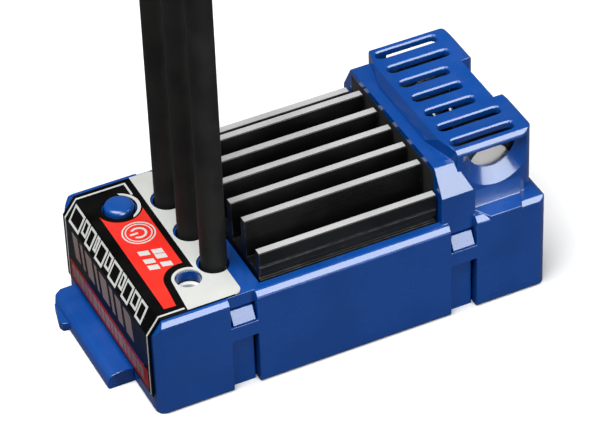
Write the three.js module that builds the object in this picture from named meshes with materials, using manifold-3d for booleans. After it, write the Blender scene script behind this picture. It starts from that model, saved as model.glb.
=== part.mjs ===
// Waterproof brushless electronic speed controller, about 58 x 31 mm, as separate pieces.
// Millimetres, +Z up. Origin: centre of the underside of the base plate.
// +X runs from the labelled front end to the vented capacitor tower, +Y to the far long side.
import * as THREE from 'three';
import { mergeVertices } from 'three/addons/utils/BufferGeometryUtils.js';
import { ConvexGeometry } from 'three/addons/geometries/ConvexGeometry.js';
import Module from 'manifold-3d';

const wasm = await Module();
wasm.setup();

// ---------------------------------------------------------------- driving dimensions
const BODY_LENGTH = 58;
const BODY_WIDTH = 31;
const DECK_TOP = 15.4;
const DECK_THICKNESS = 1.5;
const WALL = 1.4;
const CORNER_RADIUS = 1.8;
const RIM_DROP = 0.9;
const RIM_RUN = 0.85;
const FOOT_CHAMFER = 0.45;
const NOSE_CHAMFER_RUN = 1.65;
const NOSE_CHAMFER_DROP = 2.3;
const GAP = 0.3;
const SMALL_GAP = 0.05;

const FRONT = -BODY_LENGTH / 2;
const REAR = BODY_LENGTH / 2;
const SIDE = BODY_WIDTH / 2;
const DECK_UNDERSIDE = DECK_TOP - DECK_THICKNESS;
const INNER_SIDE = SIDE - WALL;

// Heat sink: seven fins along X, the two outermost ones lower.
const FIN_COUNT = 7;
const FIN_PITCH = 4.25;
const FIN_THICKNESS = 1.25;
const FIN_TOP = 22.2;
const OUTER_FIN_TOP = 19.9;
const SINK_FRONT = -12.7;
const SINK_REAR = 13.1;
const SINK_FLOOR = 16.4;
const SINK_BOTTOM = 11.95;
const SINK_FLANGE_TOP = 13.6;
const SINK_FLANGE_REACH = 1;
const SINK_HALF_WIDTH = ((FIN_COUNT - 1) * FIN_PITCH + FIN_THICKNESS) / 2;
const FIN_ROOT = 0.15;
const FIN_BEVEL = 0.12;
const GROOVE_HIGH = { bottom: 17.5, top: 17.8, depth: 0.25 };
const GROOVE_LOW = { bottom: 15.5, top: 16.5, depth: 0.4 };
const SCREW_PLACES = [[-11, -11.2], [-11, 11.2], [11.4, -11.2], [11.4, 11.2]];
const SCREW_SHANK = 0.95;
const POCKET_FRONT = -12.95;
const POCKET_REAR = 13.4;
const POCKET_HALF_WIDTH = 13.6;

// Shoulder between the pocket and the tower, with its lip over the fin ends.
const LIP_TOP = 23.6;
const SHOULDER_REAR = 18.4;
const SHOULDER_CUT_TOP = 15.9;
const SHOULDER_SIDE = SIDE - 1;
const SHOULDER_EDGE = 19.7;
const LIP_HALF_LENGTH = 11.8;

// Soft pad let into the shoulder behind the fin ends.
const PAD_THICKNESS = 0.8;
const PAD_SEAT_DEPTH = 0.95;
const PAD_HALF_LENGTH = 11.9;
const PAD_BOTTOM = DECK_TOP + 0.4;
const PAD_TOP = LIP_TOP - 1.1;

// Capacitor tower.
const TOWER_FRONT = 14.9;
const TOWER_REAR = 28.3;
const TOWER_HALF_LENGTH = 13;
const TOWER_TOP = 25.5;
const TOWER_WAIST_REAR = 26.4;
const TOWER_LOBE_INNER = 4.6;
const TOWER_CORNER_RADIUS = 2.4;
const TOWER_ROOF_CREASE = 15.6;
const TOWER_WALL = 1.1;
const TOWER_END_WALL = 1.6;
const TOWER_CORNER_CUT_X = 1.65;
const TOWER_CORNER_CUT_Y = 6.2;
const TOWER_LOBE_EASE = 0.6;
const TOWER_EDGE_DROP = 0.75;
const TOWER_EDGE_RUN = 0.7;
const TOWER_FRONT_DROP = 1.6;
const FOOT_FRONT = 20.2;
const FOOT_REAR = 24.9;
const FOOT_RUN_FRONT = 3;
const FOOT_ROOT = 0.3;
const FOOT_BOTTOM = DECK_TOP - RIM_DROP - 0.1;
const FOOT_WALL_TOP = 15.05;
const FOOT_LEDGE_TOP = 15.95;
const FOOT_STEEP_RUN = 0.8;
const FOOT_TOP = 18;
const SLOT_COUNT = 7;
const SLOT_PITCH = 3.63;
const SLOT_WIDTH = 1.5;
const SLOT_EASE = 0.25;
const SLOT_START = 16.65;
const SLOT_LONG_END = 25.95;
const SLOT_SHORT_END = 24.05;
const VENT_CENTRE_X = 22.4;
const VENT_MOUTH_RADIUS = 5.05;
const VENT_MOUTH_Z = 23.1;
const VENT_THROAT_RADIUS = 3.65;
const VENT_THROAT_Z = 23.9;
const VENT_DEPTH = 1.45;

// Snap latches: two on each long side.
const LATCH_CENTRES = [-16.1, 16.2];
const LATCH_WIDTH = 3.85;
const ARM_WIDTH = 3.25;
const BAND_BOTTOM = 8.6;
const BAND_TOP = 10.85;
const BAND_THICKNESS = 0.6;
const BARB_TOP = 13;
const ARM_OUTER = SIDE - 1.1;
const ARM_INNER = ARM_OUTER - 0.95;

// Base plate and the mounting tab at its front end.
const PLATE_THICKNESS = 1.6;
const TAB_REACH = 3.8;
const TAB_THICKNESS = 2.4;
const TAB_NEAR = -7.4;
const TAB_FAR = 11.9;
const TAB_STEP = 0.15;
const TAB_FACE_START = FRONT - 0.35;
const TAB_FLAT_END = FRONT - 1.9;
const TAB_NOSE_HEIGHT = 0.9;
const TAB_NOSE_EASE = 0.3;
const TOE_REACH = 0.95;
const TOE_LENGTH = 6;
const TOE_HEIGHT = 1.3;
const POST_PLACES = [[-22.6, -9.6], [-22.6, 9.6], [21, -9.6], [21, 9.6]];

// Motor leads: 3.6 mm silicone wire standing straight up from the front deck.
const LEAD_X = -16.6;
const LEAD_PITCH = 7.4;
const LEAD_DIAMETER = 3.6;
const LEAD_HOLE_RADIUS = 2.05;
const LEAD_BOTTOM = 11.4;
const LEAD_TOP = 65;
const LEAD_NAMES = ['near', 'middle', 'far'];

// Printed label, wrapped from the deck down the front end.
const LABEL_END = -15.7;
const LABEL_NEAR = -SIDE + 1;
const LABEL_FAR = SIDE - 1.5;
const LABEL_THICKNESS = 0.25;
const LABEL_LEAD_HOLE = 2.35;

// Deck controls.
const BUTTON_X = -23.1;
const BUTTON_Y = 8.8;
const BUTTON_RADIUS = 2.05;
const LED_X = -20.9;
const LED_Y = -8.8;
const LED_HOLE_RADIUS = 1.8;

// Rear cable exits: two battery leads and the thin receiver lead.
const CABLE_EXIT_Z = 6.4;
const BATTERY_EXIT_Y = 3.4;
const BATTERY_EXIT_RADIUS = 2.4;
const RECEIVER_EXIT_Y = 9.6;
const RECEIVER_EXIT_RADIUS = 1.6;
const CABLE_EXITS = [
  [-BATTERY_EXIT_Y, BATTERY_EXIT_RADIUS],
  [BATTERY_EXIT_Y, BATTERY_EXIT_RADIUS],
  [RECEIVER_EXIT_Y, RECEIVER_EXIT_RADIUS],
];

// Boards and parts inside.
const CONTROL_BOARD = { bottom: 3.9, top: 4.9 };
const POWER_BOARD = { bottom: 8.8, top: 10 };
const CAPACITOR_RADIUS = 4.1;
const CAPACITOR_Z = 19.9;
const CAPACITOR_END = 10.95;
const CAPACITOR_INNER = 5.8;
const SLEEVE_WALL = 0.2;
const SLEEVE_LIP = 0.95;
const CAPACITOR_LEAD_OFFSET = 1.25;
const CAPACITOR_LEAD_RADIUS = 0.3;
const TRANSISTOR = { pitchX: 6.6, y: 4.6, length: 5, width: 6, height: 1.05 };
const DRIVER = { x: 5.5, pitchY: 7, size: 4.5, height: 0.9 };
const THERMAL_PAD = { halfLength: 9.7, halfWidth: 8.2, bottom: 11.2, top: 11.85 };

const ROUND = 32;
const SMALL_ROUND = 16;

// ---------------------------------------------------------------- finishes
const finish = (color, roughness, metalness = 0) =>
  new THREE.MeshStandardMaterial({ color, roughness, metalness });
const BLUE_PLASTIC = finish(0x0a4a9e, 0.28);
const BLACK_ANODISED = finish(0x0b0b0d, 0.38, 0.6);
const LABEL_FILM = finish(0x101010, 0.3);
const BLACK_SILICONE = finish(0x1c1c1b, 0.6);
const BLACK_RUBBER = finish(0x24241f, 0.75);
const GREY_COLLAR = finish(0x8d8f90, 0.5);
const SMOKED_LENS = finish(0x0a0a0c, 0.12);
const BOARD_GREEN = finish(0x12502c, 0.45);
const CHIP_BLACK = finish(0x17171a, 0.5);
const STEEL = finish(0xb4b6b8, 0.3, 0.9);
const CAN_ALUMINIUM = finish(0xc8c8c6, 0.35, 0.9);
const BLACK_SLEEVE = finish(0x1b1b20, 0.4);
const PAD_GREY = finish(0x8a97a6, 0.8);
const GOLD_PLATE = finish(0xd7a542, 0.25, 1);
const SOLDER = finish(0xb9bcc0, 0.3, 0.9);
const SWITCH_CREAM = finish(0xd9d4c6, 0.5);
const BLUE_SHRINK = finish(0x1a2f7c, 0.45);

// ---------------------------------------------------------------- solids
function toSolid(geometry) {
  geometry.deleteAttribute('normal');
  geometry.deleteAttribute('uv');
  const welded = mergeVertices(geometry, 1e-4);
  const vertProperties = new Float32Array(welded.attributes.position.array);
  const triVerts = new Uint32Array(welded.index.array);
  return new wasm.Manifold(new wasm.Mesh({ numProp: 3, vertProperties, triVerts }));
}

function toGeometry(solid) {
  const mesh = solid.getMesh();
  const geometry = new THREE.BufferGeometry();
  geometry.setAttribute('position', new THREE.BufferAttribute(mesh.vertProperties, 3));
  geometry.setIndex(new THREE.BufferAttribute(mesh.triVerts, 1));
  return geometry;
}

const joined = (solids) => solids.reduce((whole, piece) => whole.add(piece));

const without = (solid, cutters) => cutters.reduce((rest, cutter) => rest.subtract(cutter), solid);

function block(x0, x1, y0, y1, z0, z1) {
  const geometry = new THREE.BoxGeometry(x1 - x0, y1 - y0, z1 - z0);
  return toSolid(geometry.translate((x0 + x1) / 2, (y0 + y1) / 2, (z0 + z1) / 2));
}

function extruded(shape, depth, curveSegments = 4) {
  return new THREE.ExtrudeGeometry(shape, { depth, bevelEnabled: false, steps: 1, curveSegments });
}

// A plan outline in X and Y, raised from z0 to z1.
const prismZ = (shape, z0, z1, segments) =>
  toSolid(extruded(shape, z1 - z0, segments).translate(0, 0, z0));

// A profile in X and Z, swept from y0 to y1.
const prismY = (shape, y0, y1, segments) =>
  toSolid(extruded(shape, y1 - y0, segments).rotateX(Math.PI / 2).translate(0, y1, 0));

// A profile in Y and Z, swept from x0 to x1.
function prismX(shape, x0, x1, segments) {
  const turn = new THREE.Matrix4().makeBasis(
    new THREE.Vector3(0, 1, 0), new THREE.Vector3(0, 0, 1), new THREE.Vector3(1, 0, 0));
  return toSolid(extruded(shape, x1 - x0, segments).applyMatrix4(turn).translate(x0, 0, 0));
}

function cylinderZ(x, y, radius, z0, z1, sides = SMALL_ROUND) {
  const geometry = new THREE.CylinderGeometry(radius, radius, z1 - z0, sides);
  return toSolid(geometry.rotateX(Math.PI / 2).translate(x, y, (z0 + z1) / 2));
}

function cylinderX(y, z, radius, x0, x1, sides = SMALL_ROUND) {
  const geometry = new THREE.CylinderGeometry(radius, radius, x1 - x0, sides);
  return toSolid(geometry.rotateZ(Math.PI / 2).translate((x0 + x1) / 2, y, z));
}

// A profile of [radius, height] pairs turned round an upright axis.
function turned(profile, sides = SMALL_ROUND) {
  const points = profile.map(([radius, height]) => new THREE.Vector2(radius, height));
  return new THREE.LatheGeometry(points, sides);
}

const polygon = (points) => new THREE.Shape(points.map(([x, y]) => new THREE.Vector2(x, y)));

function roundedRectangle(x0, x1, y0, y1, radius) {
  const shape = new THREE.Shape();
  shape.absarc(x1 - radius, y0 + radius, radius, -Math.PI / 2, 0, false);
  shape.absarc(x1 - radius, y1 - radius, radius, 0, Math.PI / 2, false);
  shape.absarc(x0 + radius, y1 - radius, radius, Math.PI / 2, Math.PI, false);
  shape.absarc(x0 + radius, y0 + radius, radius, Math.PI, Math.PI * 1.5, false);
  return shape;
}

const bothSides = (make) => [-1, 1].map((side) => make(side));

// A block given by distances from the centre plane, on the near (-1) or far (+1) side.
function sideBlock(side, x0, x1, inner, outer, z0, z1) {
  const [y0, y1] = side < 0 ? [-outer, -inner] : [inner, outer];
  return block(x0, x1, y0, y1, z0, z1);
}

// ---------------------------------------------------------------- pieces list
const assembly = new THREE.Group();
assembly.name = 'electronic_speed_controller';

function addGeometry(name, geometry, material, parent = assembly) {
  const mesh = new THREE.Mesh(geometry, material);
  mesh.name = name;
  parent.add(mesh);
  return mesh;
}

const addSolid = (name, solid, material) => addGeometry(name, toGeometry(solid), material);

// ---------------------------------------------------------------- upper housing
// The edge between a wall and a top face: a flat chamfer with its two corners eased.
function easedEdge(wall, top, drop, run) {
  const outward = Math.sign(wall);
  return [
    [wall, top - drop],
    [wall - outward * run * 0.12, top - drop * 0.74],
    [wall - outward * run * 0.72, top - drop * 0.1],
    [wall - outward * run, top],
  ];
}

function bodyBlock() {
  const plan = roundedRectangle(FRONT, REAR, -SIDE, SIDE, CORNER_RADIUS);
  const long = polygon([
    [FRONT + FOOT_CHAMFER, 0],
    [REAR - FOOT_CHAMFER, 0],
    [REAR - FOOT_CHAMFER * 0.3, FOOT_CHAMFER * 0.3],
    [REAR, FOOT_CHAMFER],
    ...easedEdge(REAR, DECK_TOP, RIM_DROP, RIM_RUN),
    [FRONT + NOSE_CHAMFER_RUN, DECK_TOP],
    [FRONT, DECK_TOP - NOSE_CHAMFER_DROP],
    [FRONT, FOOT_CHAMFER],
    [FRONT + FOOT_CHAMFER * 0.3, FOOT_CHAMFER * 0.3],
  ]);
  const cross = polygon([
    [-SIDE + FOOT_CHAMFER, 0],
    [SIDE - FOOT_CHAMFER, 0],
    [SIDE - FOOT_CHAMFER * 0.3, FOOT_CHAMFER * 0.3],
    [SIDE, FOOT_CHAMFER],
    ...easedEdge(SIDE, DECK_TOP, RIM_DROP, RIM_RUN),
    ...easedEdge(-SIDE, DECK_TOP, RIM_DROP, RIM_RUN).reverse(),
    [-SIDE, FOOT_CHAMFER],
    [-SIDE + FOOT_CHAMFER * 0.3, FOOT_CHAMFER * 0.3],
  ]);
  return prismZ(plan, 0, DECK_TOP, 6)
    .intersect(prismY(long, -SIDE - 1, SIDE + 1))
    .intersect(prismX(cross, FRONT - 1, REAR + 1));
}

function shoulderBlock() {
  const profile = polygon([
    [-SHOULDER_SIDE, DECK_UNDERSIDE],
    [SHOULDER_SIDE, DECK_UNDERSIDE],
    [SHOULDER_SIDE, SHOULDER_EDGE],
    [LIP_HALF_LENGTH + 0.5, LIP_TOP - 0.15],
    [LIP_HALF_LENGTH - 0.2, LIP_TOP],
    [-LIP_HALF_LENGTH + 0.2, LIP_TOP],
    [-LIP_HALF_LENGTH - 0.5, LIP_TOP - 0.15],
    [-SHOULDER_SIDE, SHOULDER_EDGE],
  ]);
  const slope = polygon([
    [SHOULDER_CUT_TOP, LIP_TOP + 1],
    [SHOULDER_REAR, SHOULDER_EDGE - 0.5],
    [SHOULDER_REAR, DECK_TOP - 1],
    [SHOULDER_REAR + 2, DECK_TOP - 1],
    [SHOULDER_REAR + 2, LIP_TOP + 1],
  ]);
  const cuts = bothSides((side) =>
    (side < 0 ? prismY(slope, -SIDE, -TOWER_HALF_LENGTH) : prismY(slope, TOWER_HALF_LENGTH, SIDE)));
  return without(prismX(profile, POCKET_REAR, SHOULDER_REAR + 1), cuts);
}

function towerPlan() {
  const plan = new THREE.Shape();
  const arcX = TOWER_REAR - TOWER_CORNER_RADIUS;
  const arcY = TOWER_HALF_LENGTH - TOWER_CORNER_RADIUS;
  plan.moveTo(TOWER_FRONT, -TOWER_HALF_LENGTH + TOWER_CORNER_CUT_Y);
  plan.lineTo(TOWER_FRONT + TOWER_CORNER_CUT_X, -TOWER_HALF_LENGTH);
  plan.absarc(arcX, -arcY, TOWER_CORNER_RADIUS, -Math.PI / 2, 0, false);
  plan.lineTo(TOWER_REAR, -TOWER_LOBE_INNER - TOWER_LOBE_EASE);
  plan.lineTo(TOWER_REAR - TOWER_LOBE_EASE, -TOWER_LOBE_INNER);
  plan.lineTo(TOWER_WAIST_REAR, -TOWER_LOBE_INNER);
  plan.lineTo(TOWER_WAIST_REAR, TOWER_LOBE_INNER);
  plan.lineTo(TOWER_REAR - TOWER_LOBE_EASE, TOWER_LOBE_INNER);
  plan.lineTo(TOWER_REAR, TOWER_LOBE_INNER + TOWER_LOBE_EASE);
  plan.absarc(arcX, arcY, TOWER_CORNER_RADIUS, 0, Math.PI / 2, false);
  plan.lineTo(TOWER_FRONT + TOWER_CORNER_CUT_X, TOWER_HALF_LENGTH);
  plan.lineTo(TOWER_FRONT, TOWER_HALF_LENGTH - TOWER_CORNER_CUT_Y);
  return plan;
}

function towerBlock() {
  const long = polygon([
    [TOWER_FRONT, DECK_UNDERSIDE],
    [TOWER_REAR, DECK_UNDERSIDE],
    ...easedEdge(TOWER_REAR, TOWER_TOP, TOWER_EDGE_DROP, TOWER_EDGE_RUN),
    [TOWER_ROOF_CREASE, TOWER_TOP],
    [TOWER_FRONT, TOWER_TOP - TOWER_FRONT_DROP],
  ]);
  const edge = TOWER_HALF_LENGTH;
  const cross = polygon([
    [-edge, DECK_UNDERSIDE],
    [edge, DECK_UNDERSIDE],
    ...easedEdge(edge, TOWER_TOP, TOWER_EDGE_DROP, TOWER_EDGE_RUN),
    ...easedEdge(-edge, TOWER_TOP, TOWER_EDGE_DROP, TOWER_EDGE_RUN).reverse(),
  ]);
  return prismZ(towerPlan(), DECK_UNDERSIDE, TOWER_TOP, 5)
    .intersect(prismY(long, -SIDE, SIDE))
    .intersect(prismX(cross, TOWER_FRONT - 1, TOWER_REAR + 1));
}

// The flared foot of the tower's two end walls, which runs out flush with the case wall.
function towerFoot(side) {
  const face = TOWER_HALF_LENGTH;
  const root = face - FOOT_ROOT;
  const flare = [
    [root, FOOT_BOTTOM],
    [SIDE, FOOT_BOTTOM],
    [SIDE, FOOT_WALL_TOP],
    [face + FOOT_STEEP_RUN, FOOT_LEDGE_TOP],
    [face + FOOT_STEEP_RUN * 0.4, FOOT_LEDGE_TOP + (FOOT_TOP - FOOT_LEDGE_TOP) * 0.5],
    [face, FOOT_TOP],
    [root, FOOT_TOP],
  ];
  const rear = TOWER_REAR - TOWER_CORNER_RADIUS;
  const plan = polygon([
    [FOOT_FRONT - FOOT_RUN_FRONT - FOOT_ROOT, side * root],
    [FOOT_FRONT - FOOT_RUN_FRONT, side * face],
    [FOOT_FRONT, side * SIDE],
    [FOOT_REAR, side * SIDE],
    [rear, side * face],
    [rear, side * root],
  ]);
  const skirt = prismX(polygon(flare.map(([y, z]) => [side * y, z])), TOWER_FRONT, TOWER_REAR);
  return skirt.intersect(prismZ(plan, FOOT_BOTTOM, FOOT_TOP));
}

function bodyCavity() {
  const plan = roundedRectangle(FRONT + WALL, REAR - WALL, -INNER_SIDE, INNER_SIDE, 0.8);
  const profile = polygon([
    [FRONT + WALL, -1],
    [REAR - WALL, -1],
    [REAR - WALL, DECK_UNDERSIDE],
    [FRONT + WALL + NOSE_CHAMFER_RUN, DECK_UNDERSIDE],
    [FRONT + WALL, DECK_UNDERSIDE - NOSE_CHAMFER_DROP + 0.4],
  ]);
  return prismZ(plan, -1, DECK_UNDERSIDE, 3).intersect(prismY(profile, -SIDE, SIDE));
}

function towerCavity() {
  const floor = DECK_UNDERSIDE - 0.5;
  const roof = TOWER_TOP - TOWER_WALL;
  const front = TOWER_ROOF_CREASE + TOWER_WALL;
  const ends = TOWER_HALF_LENGTH - TOWER_END_WALL;
  const lobes = block(front, TOWER_REAR - TOWER_WALL, -ends, ends, floor, roof);
  const waist = TOWER_LOBE_INNER + TOWER_WALL;
  const waistCore = block(TOWER_WAIST_REAR - TOWER_WALL, TOWER_REAR, -waist, waist, floor, roof + 1);
  const frontRoom = block(TOWER_FRONT + 0.6, front + 0.5, -ends + 2, ends - 2, floor, LIP_TOP - TOWER_WALL - GAP);
  return lobes.subtract(waistCore).add(frontRoom);
}

// The round-ended outline of a slot, as points at one height.
function slotOutline(y, end, radius, z) {
  const reach = SLOT_WIDTH / 2;
  const points = [];
  for (const [x, first] of [[end - reach, -Math.PI / 2], [SLOT_START + reach, Math.PI / 2]]) {
    for (let step = 0; step <= 6; step += 1) {
      const angle = first + (Math.PI * step) / 6;
      points.push(new THREE.Vector3(x + radius * Math.cos(angle), y + radius * Math.sin(angle), z));
    }
  }
  return points;
}

function roofSlot(index) {
  const y = (index - (SLOT_COUNT - 1) / 2) * SLOT_PITCH;
  const onLobe = Math.abs(y) > TOWER_LOBE_INNER;
  const end = onLobe ? SLOT_LONG_END : SLOT_SHORT_END;
  const radius = SLOT_WIDTH / 2;
  const waist = slotOutline(y, end, radius, TOWER_TOP - SLOT_EASE);
  const mouth = slotOutline(y, end, radius + SLOT_EASE, TOWER_TOP + 0.01);
  const bottom = slotOutline(y, end, radius, TOWER_TOP - TOWER_WALL - 0.5);
  return joined([
    toSolid(new ConvexGeometry([...waist, ...mouth])),
    toSolid(new ConvexGeometry([...waist, ...bottom])),
  ]);
}

// One U-shaped outline of a vent: straight sides above a half circle.
function ventOutline(radius, centreZ, topZ, y) {
  const points = [new THREE.Vector3(VENT_CENTRE_X - radius, y, topZ)];
  for (let step = 0; step <= SMALL_ROUND; step += 1) {
    const angle = Math.PI + (Math.PI * step) / SMALL_ROUND;
    const x = VENT_CENTRE_X + radius * Math.cos(angle);
    points.push(new THREE.Vector3(x, y, centreZ + radius * Math.sin(angle)));
  }
  points.push(new THREE.Vector3(VENT_CENTRE_X + radius, y, topZ));
  return points;
}

// The vent in one end wall: a funnel that narrows inwards, with a plain hole behind it.
function ventCut(side) {
  const top = TOWER_TOP - TOWER_WALL;
  const throat = (y) => ventOutline(VENT_THROAT_RADIUS, VENT_THROAT_Z, top, side * y);
  const wide = ventOutline(VENT_MOUTH_RADIUS, VENT_MOUTH_Z, top, side * (TOWER_HALF_LENGTH + 0.02));
  const narrow = throat(TOWER_HALF_LENGTH - VENT_DEPTH);
  const back = throat(TOWER_HALF_LENGTH - TOWER_END_WALL - 0.4);
  const funnel = toSolid(new ConvexGeometry([...wide, ...narrow]));
  return funnel.add(toSolid(new ConvexGeometry([...narrow, ...back])));
}

// Openings in a long wall for one snap arm: channel, room behind the band, window and notch.
function latchCuts(centre, side) {
  const x0 = centre - LATCH_WIDTH / 2;
  const x1 = centre + LATCH_WIDTH / 2;
  const room = ARM_INNER - 0.25;
  const windowTop = BARB_TOP + 0.4;
  return [
    sideBlock(side, x0, x1, room, SIDE + 1, -1, BAND_BOTTOM),
    sideBlock(side, x0, x1, room, SIDE - BAND_THICKNESS, BAND_BOTTOM - 0.1, windowTop),
    sideBlock(side, x0, x1, room, SIDE + 1, BAND_TOP, windowTop),
    sideBlock(side, x0, x1, SHOULDER_SIDE, SIDE + 1, windowTop - 0.1, DECK_TOP + 1),
  ];
}

function housing() {
  const shell = without(joined([bodyBlock(), shoulderBlock(), towerBlock(), ...bothSides(towerFoot)]), [
    bodyCavity(),
    towerCavity(),
    block(POCKET_FRONT, POCKET_REAR, -POCKET_HALF_WIDTH, POCKET_HALF_WIDTH, DECK_UNDERSIDE - 1, FIN_TOP + 9),
    block(POCKET_REAR - 0.1, POCKET_REAR + PAD_SEAT_DEPTH, -PAD_HALF_LENGTH - 0.1, PAD_HALF_LENGTH + 0.1,
      PAD_BOTTOM - 0.1, PAD_TOP + 0.1),
  ]);
  const openings = [];
  for (let index = 0; index < SLOT_COUNT; index += 1) {
    openings.push(roofSlot(index));
  }
  openings.push(...bothSides(ventCut));
  for (const centre of LATCH_CENTRES) {
    openings.push(...bothSides((side) => joined(latchCuts(centre, side))));
  }
  for (const offset of [-LEAD_PITCH, 0, LEAD_PITCH]) {
    openings.push(cylinderZ(LEAD_X, offset, LEAD_HOLE_RADIUS, DECK_UNDERSIDE - 1, DECK_TOP + 1, 20));
  }
  openings.push(cylinderZ(BUTTON_X, BUTTON_Y, BUTTON_RADIUS + 0.15, DECK_UNDERSIDE - 1, DECK_TOP + 1, 24));
  openings.push(cylinderZ(LED_X, LED_Y, LED_HOLE_RADIUS, DECK_UNDERSIDE - 1, DECK_TOP + 1, 24));
  openings.push(block(FRONT - 1, FRONT + WALL + 1, TAB_NEAR - GAP, TAB_FAR + GAP, -1, TAB_THICKNESS + GAP));
  for (const [y, radius] of CABLE_EXITS) {
    openings.push(cylinderX(y, CABLE_EXIT_Z, radius, REAR - WALL - 1, REAR + 1, 20));
  }
  return without(shell, openings);
}

// ---------------------------------------------------------------- base plate
function snapArm(centre, side) {
  const x0 = centre - ARM_WIDTH / 2;
  const x1 = centre + ARM_WIDTH / 2;
  const arm = sideBlock(side, x0, x1, ARM_INNER, ARM_OUTER, 0, BARB_TOP);
  const foot = sideBlock(side, x0, x1, INNER_SIDE - 1, ARM_OUTER, 0, PLATE_THICKNESS);
  const barb = prismX(polygon([
    [side * (ARM_OUTER - 0.2), BAND_TOP + 0.1],
    [side * (SIDE - SMALL_GAP), BAND_TOP + 0.1],
    [side * (SIDE - SMALL_GAP), BAND_TOP + 0.3],
    [side * (ARM_OUTER + 0.05), BARB_TOP],
    [side * (ARM_OUTER - 0.2), BARB_TOP],
  ]), x0, x1);
  return joined([arm, foot, barb]);
}

function mountingTab() {
  const outer = FRONT - TAB_REACH;
  const profile = new THREE.Shape();
  const root = FRONT + WALL + GAP + 1;
  profile.moveTo(root, 0);
  profile.lineTo(root, TAB_THICKNESS - TAB_STEP);
  profile.lineTo(TAB_FACE_START, TAB_THICKNESS - TAB_STEP);
  profile.lineTo(TAB_FACE_START, TAB_THICKNESS);
  profile.lineTo(TAB_FLAT_END, TAB_THICKNESS);
  profile.quadraticCurveTo(outer, TAB_THICKNESS, outer, TAB_NOSE_HEIGHT);
  profile.lineTo(outer, TAB_NOSE_EASE);
  profile.lineTo(outer + TAB_NOSE_EASE, 0);
  const ledge = prismY(profile, TAB_NEAR, TAB_FAR, 5);
  const toe = prismZ(polygon([
    [outer + 0.6, TAB_FAR - 0.3],
    [outer + 0.1, TAB_FAR - 0.5],
    [outer - TOE_REACH * 0.8, TAB_FAR - TOE_LENGTH * 0.67],
    [outer - TOE_REACH, TAB_FAR - TOE_LENGTH * 0.83],
    [outer - TOE_REACH * 0.75, TAB_FAR - TOE_LENGTH * 0.95],
    [outer + 0.6, TAB_FAR - TOE_LENGTH],
  ]), 0, TOE_HEIGHT);
  const corner = prismZ(polygon([
    [outer - 1.5, TAB_FAR + 1],
    [outer - 1.5, TAB_FAR - 0.2],
    [outer, TAB_FAR - 1.3],
    [outer + 0.45, TAB_FAR - 0.4],
    [outer + 1.4, TAB_FAR + 0.01],
    [outer + 1.4, TAB_FAR + 1],
  ]), -1, TAB_THICKNESS + 1);
  return ledge.add(toe).subtract(corner);
}

function boardPost([x, y]) {
  const shoulder = cylinderZ(x, y, 1.6, PLATE_THICKNESS - 0.2, CONTROL_BOARD.bottom - 0.1);
  return shoulder.add(cylinderZ(x, y, 0.7, PLATE_THICKNESS, CONTROL_BOARD.top + 0.4));
}

function basePlate() {
  const edgeX = REAR - WALL - GAP;
  const edgeY = INNER_SIDE - GAP;
  const plan = roundedRectangle(-edgeX, edgeX, -edgeY, edgeY, 0.6);
  const plate = prismZ(plan, 0, PLATE_THICKNESS, 3);
  const arms = LATCH_CENTRES.flatMap((centre) => bothSides((side) => snapArm(centre, side)));
  return joined([plate, mountingTab(), ...arms, ...POST_PLACES.map(boardPost)]);
}

function baseSeal() {
  const edgeX = REAR - WALL - GAP - 0.2;
  const edgeY = ARM_INNER - 0.4;
  const z0 = PLATE_THICKNESS + SMALL_GAP;
  const outer = prismZ(roundedRectangle(-edgeX, edgeX, -edgeY, edgeY, 1.2), z0, z0 + 0.9, 3);
  const inner = roundedRectangle(-edgeX + 0.9, edgeX - 0.9, -edgeY + 0.9, edgeY - 0.9, 0.6);
  const tabRoom = block(-edgeX - 1, -edgeX + 3, TAB_NEAR - GAP, TAB_FAR + GAP, z0 - 1, TAB_THICKNESS + 0.1);
  return outer.subtract(prismZ(inner, z0 - 1, z0 + 2, 3)).subtract(tabRoom);
}

// ---------------------------------------------------------------- heat sink
function finProfile() {
  const fins = [];
  const half = SINK_HALF_WIDTH;
  for (let index = 0; index < FIN_COUNT; index += 1) {
    const isOuter = index === 0 || index === FIN_COUNT - 1;
    const top = isOuter ? OUTER_FIN_TOP : FIN_TOP;
    const y0 = -half + index * FIN_PITCH;
    const y1 = y0 + FIN_THICKNESS;
    fins.push([y0 - (index > 0 ? FIN_ROOT : 0), SINK_FLOOR], [y0, top - FIN_BEVEL], [y0 + FIN_BEVEL, top]);
    fins.push([y1 - FIN_BEVEL, top], [y1, top - FIN_BEVEL]);
    fins.push([y1 + (index < FIN_COUNT - 1 ? FIN_ROOT : 0), SINK_FLOOR]);
  }
  fins.push([half, SINK_BOTTOM], [-half, SINK_BOTTOM]);
  return polygon(fins.reverse());
}

function heatSink() {
  const core = prismX(finProfile(), SINK_FRONT, SINK_REAR);
  const flange = block(SINK_FRONT - SINK_FLANGE_REACH, SINK_REAR + SINK_FLANGE_REACH,
    -SINK_HALF_WIDTH, SINK_HALF_WIDTH, SINK_BOTTOM, SINK_FLANGE_TOP);
  const grooves = bothSides((side) => [GROOVE_HIGH, GROOVE_LOW].map(({ bottom, top, depth }) =>
    sideBlock(side, SINK_FRONT - 1, SINK_REAR + 1, SINK_HALF_WIDTH - depth, SINK_HALF_WIDTH + 1, bottom, top)));
  const screwHoles = SCREW_PLACES.map(([x, y]) =>
    cylinderZ(x, y, SCREW_SHANK + 0.1, SINK_BOTTOM - 1, SINK_BOTTOM + 3.2, 12));
  return without(core.add(flange), [...grooves.flat(), ...screwHoles]);
}

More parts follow.
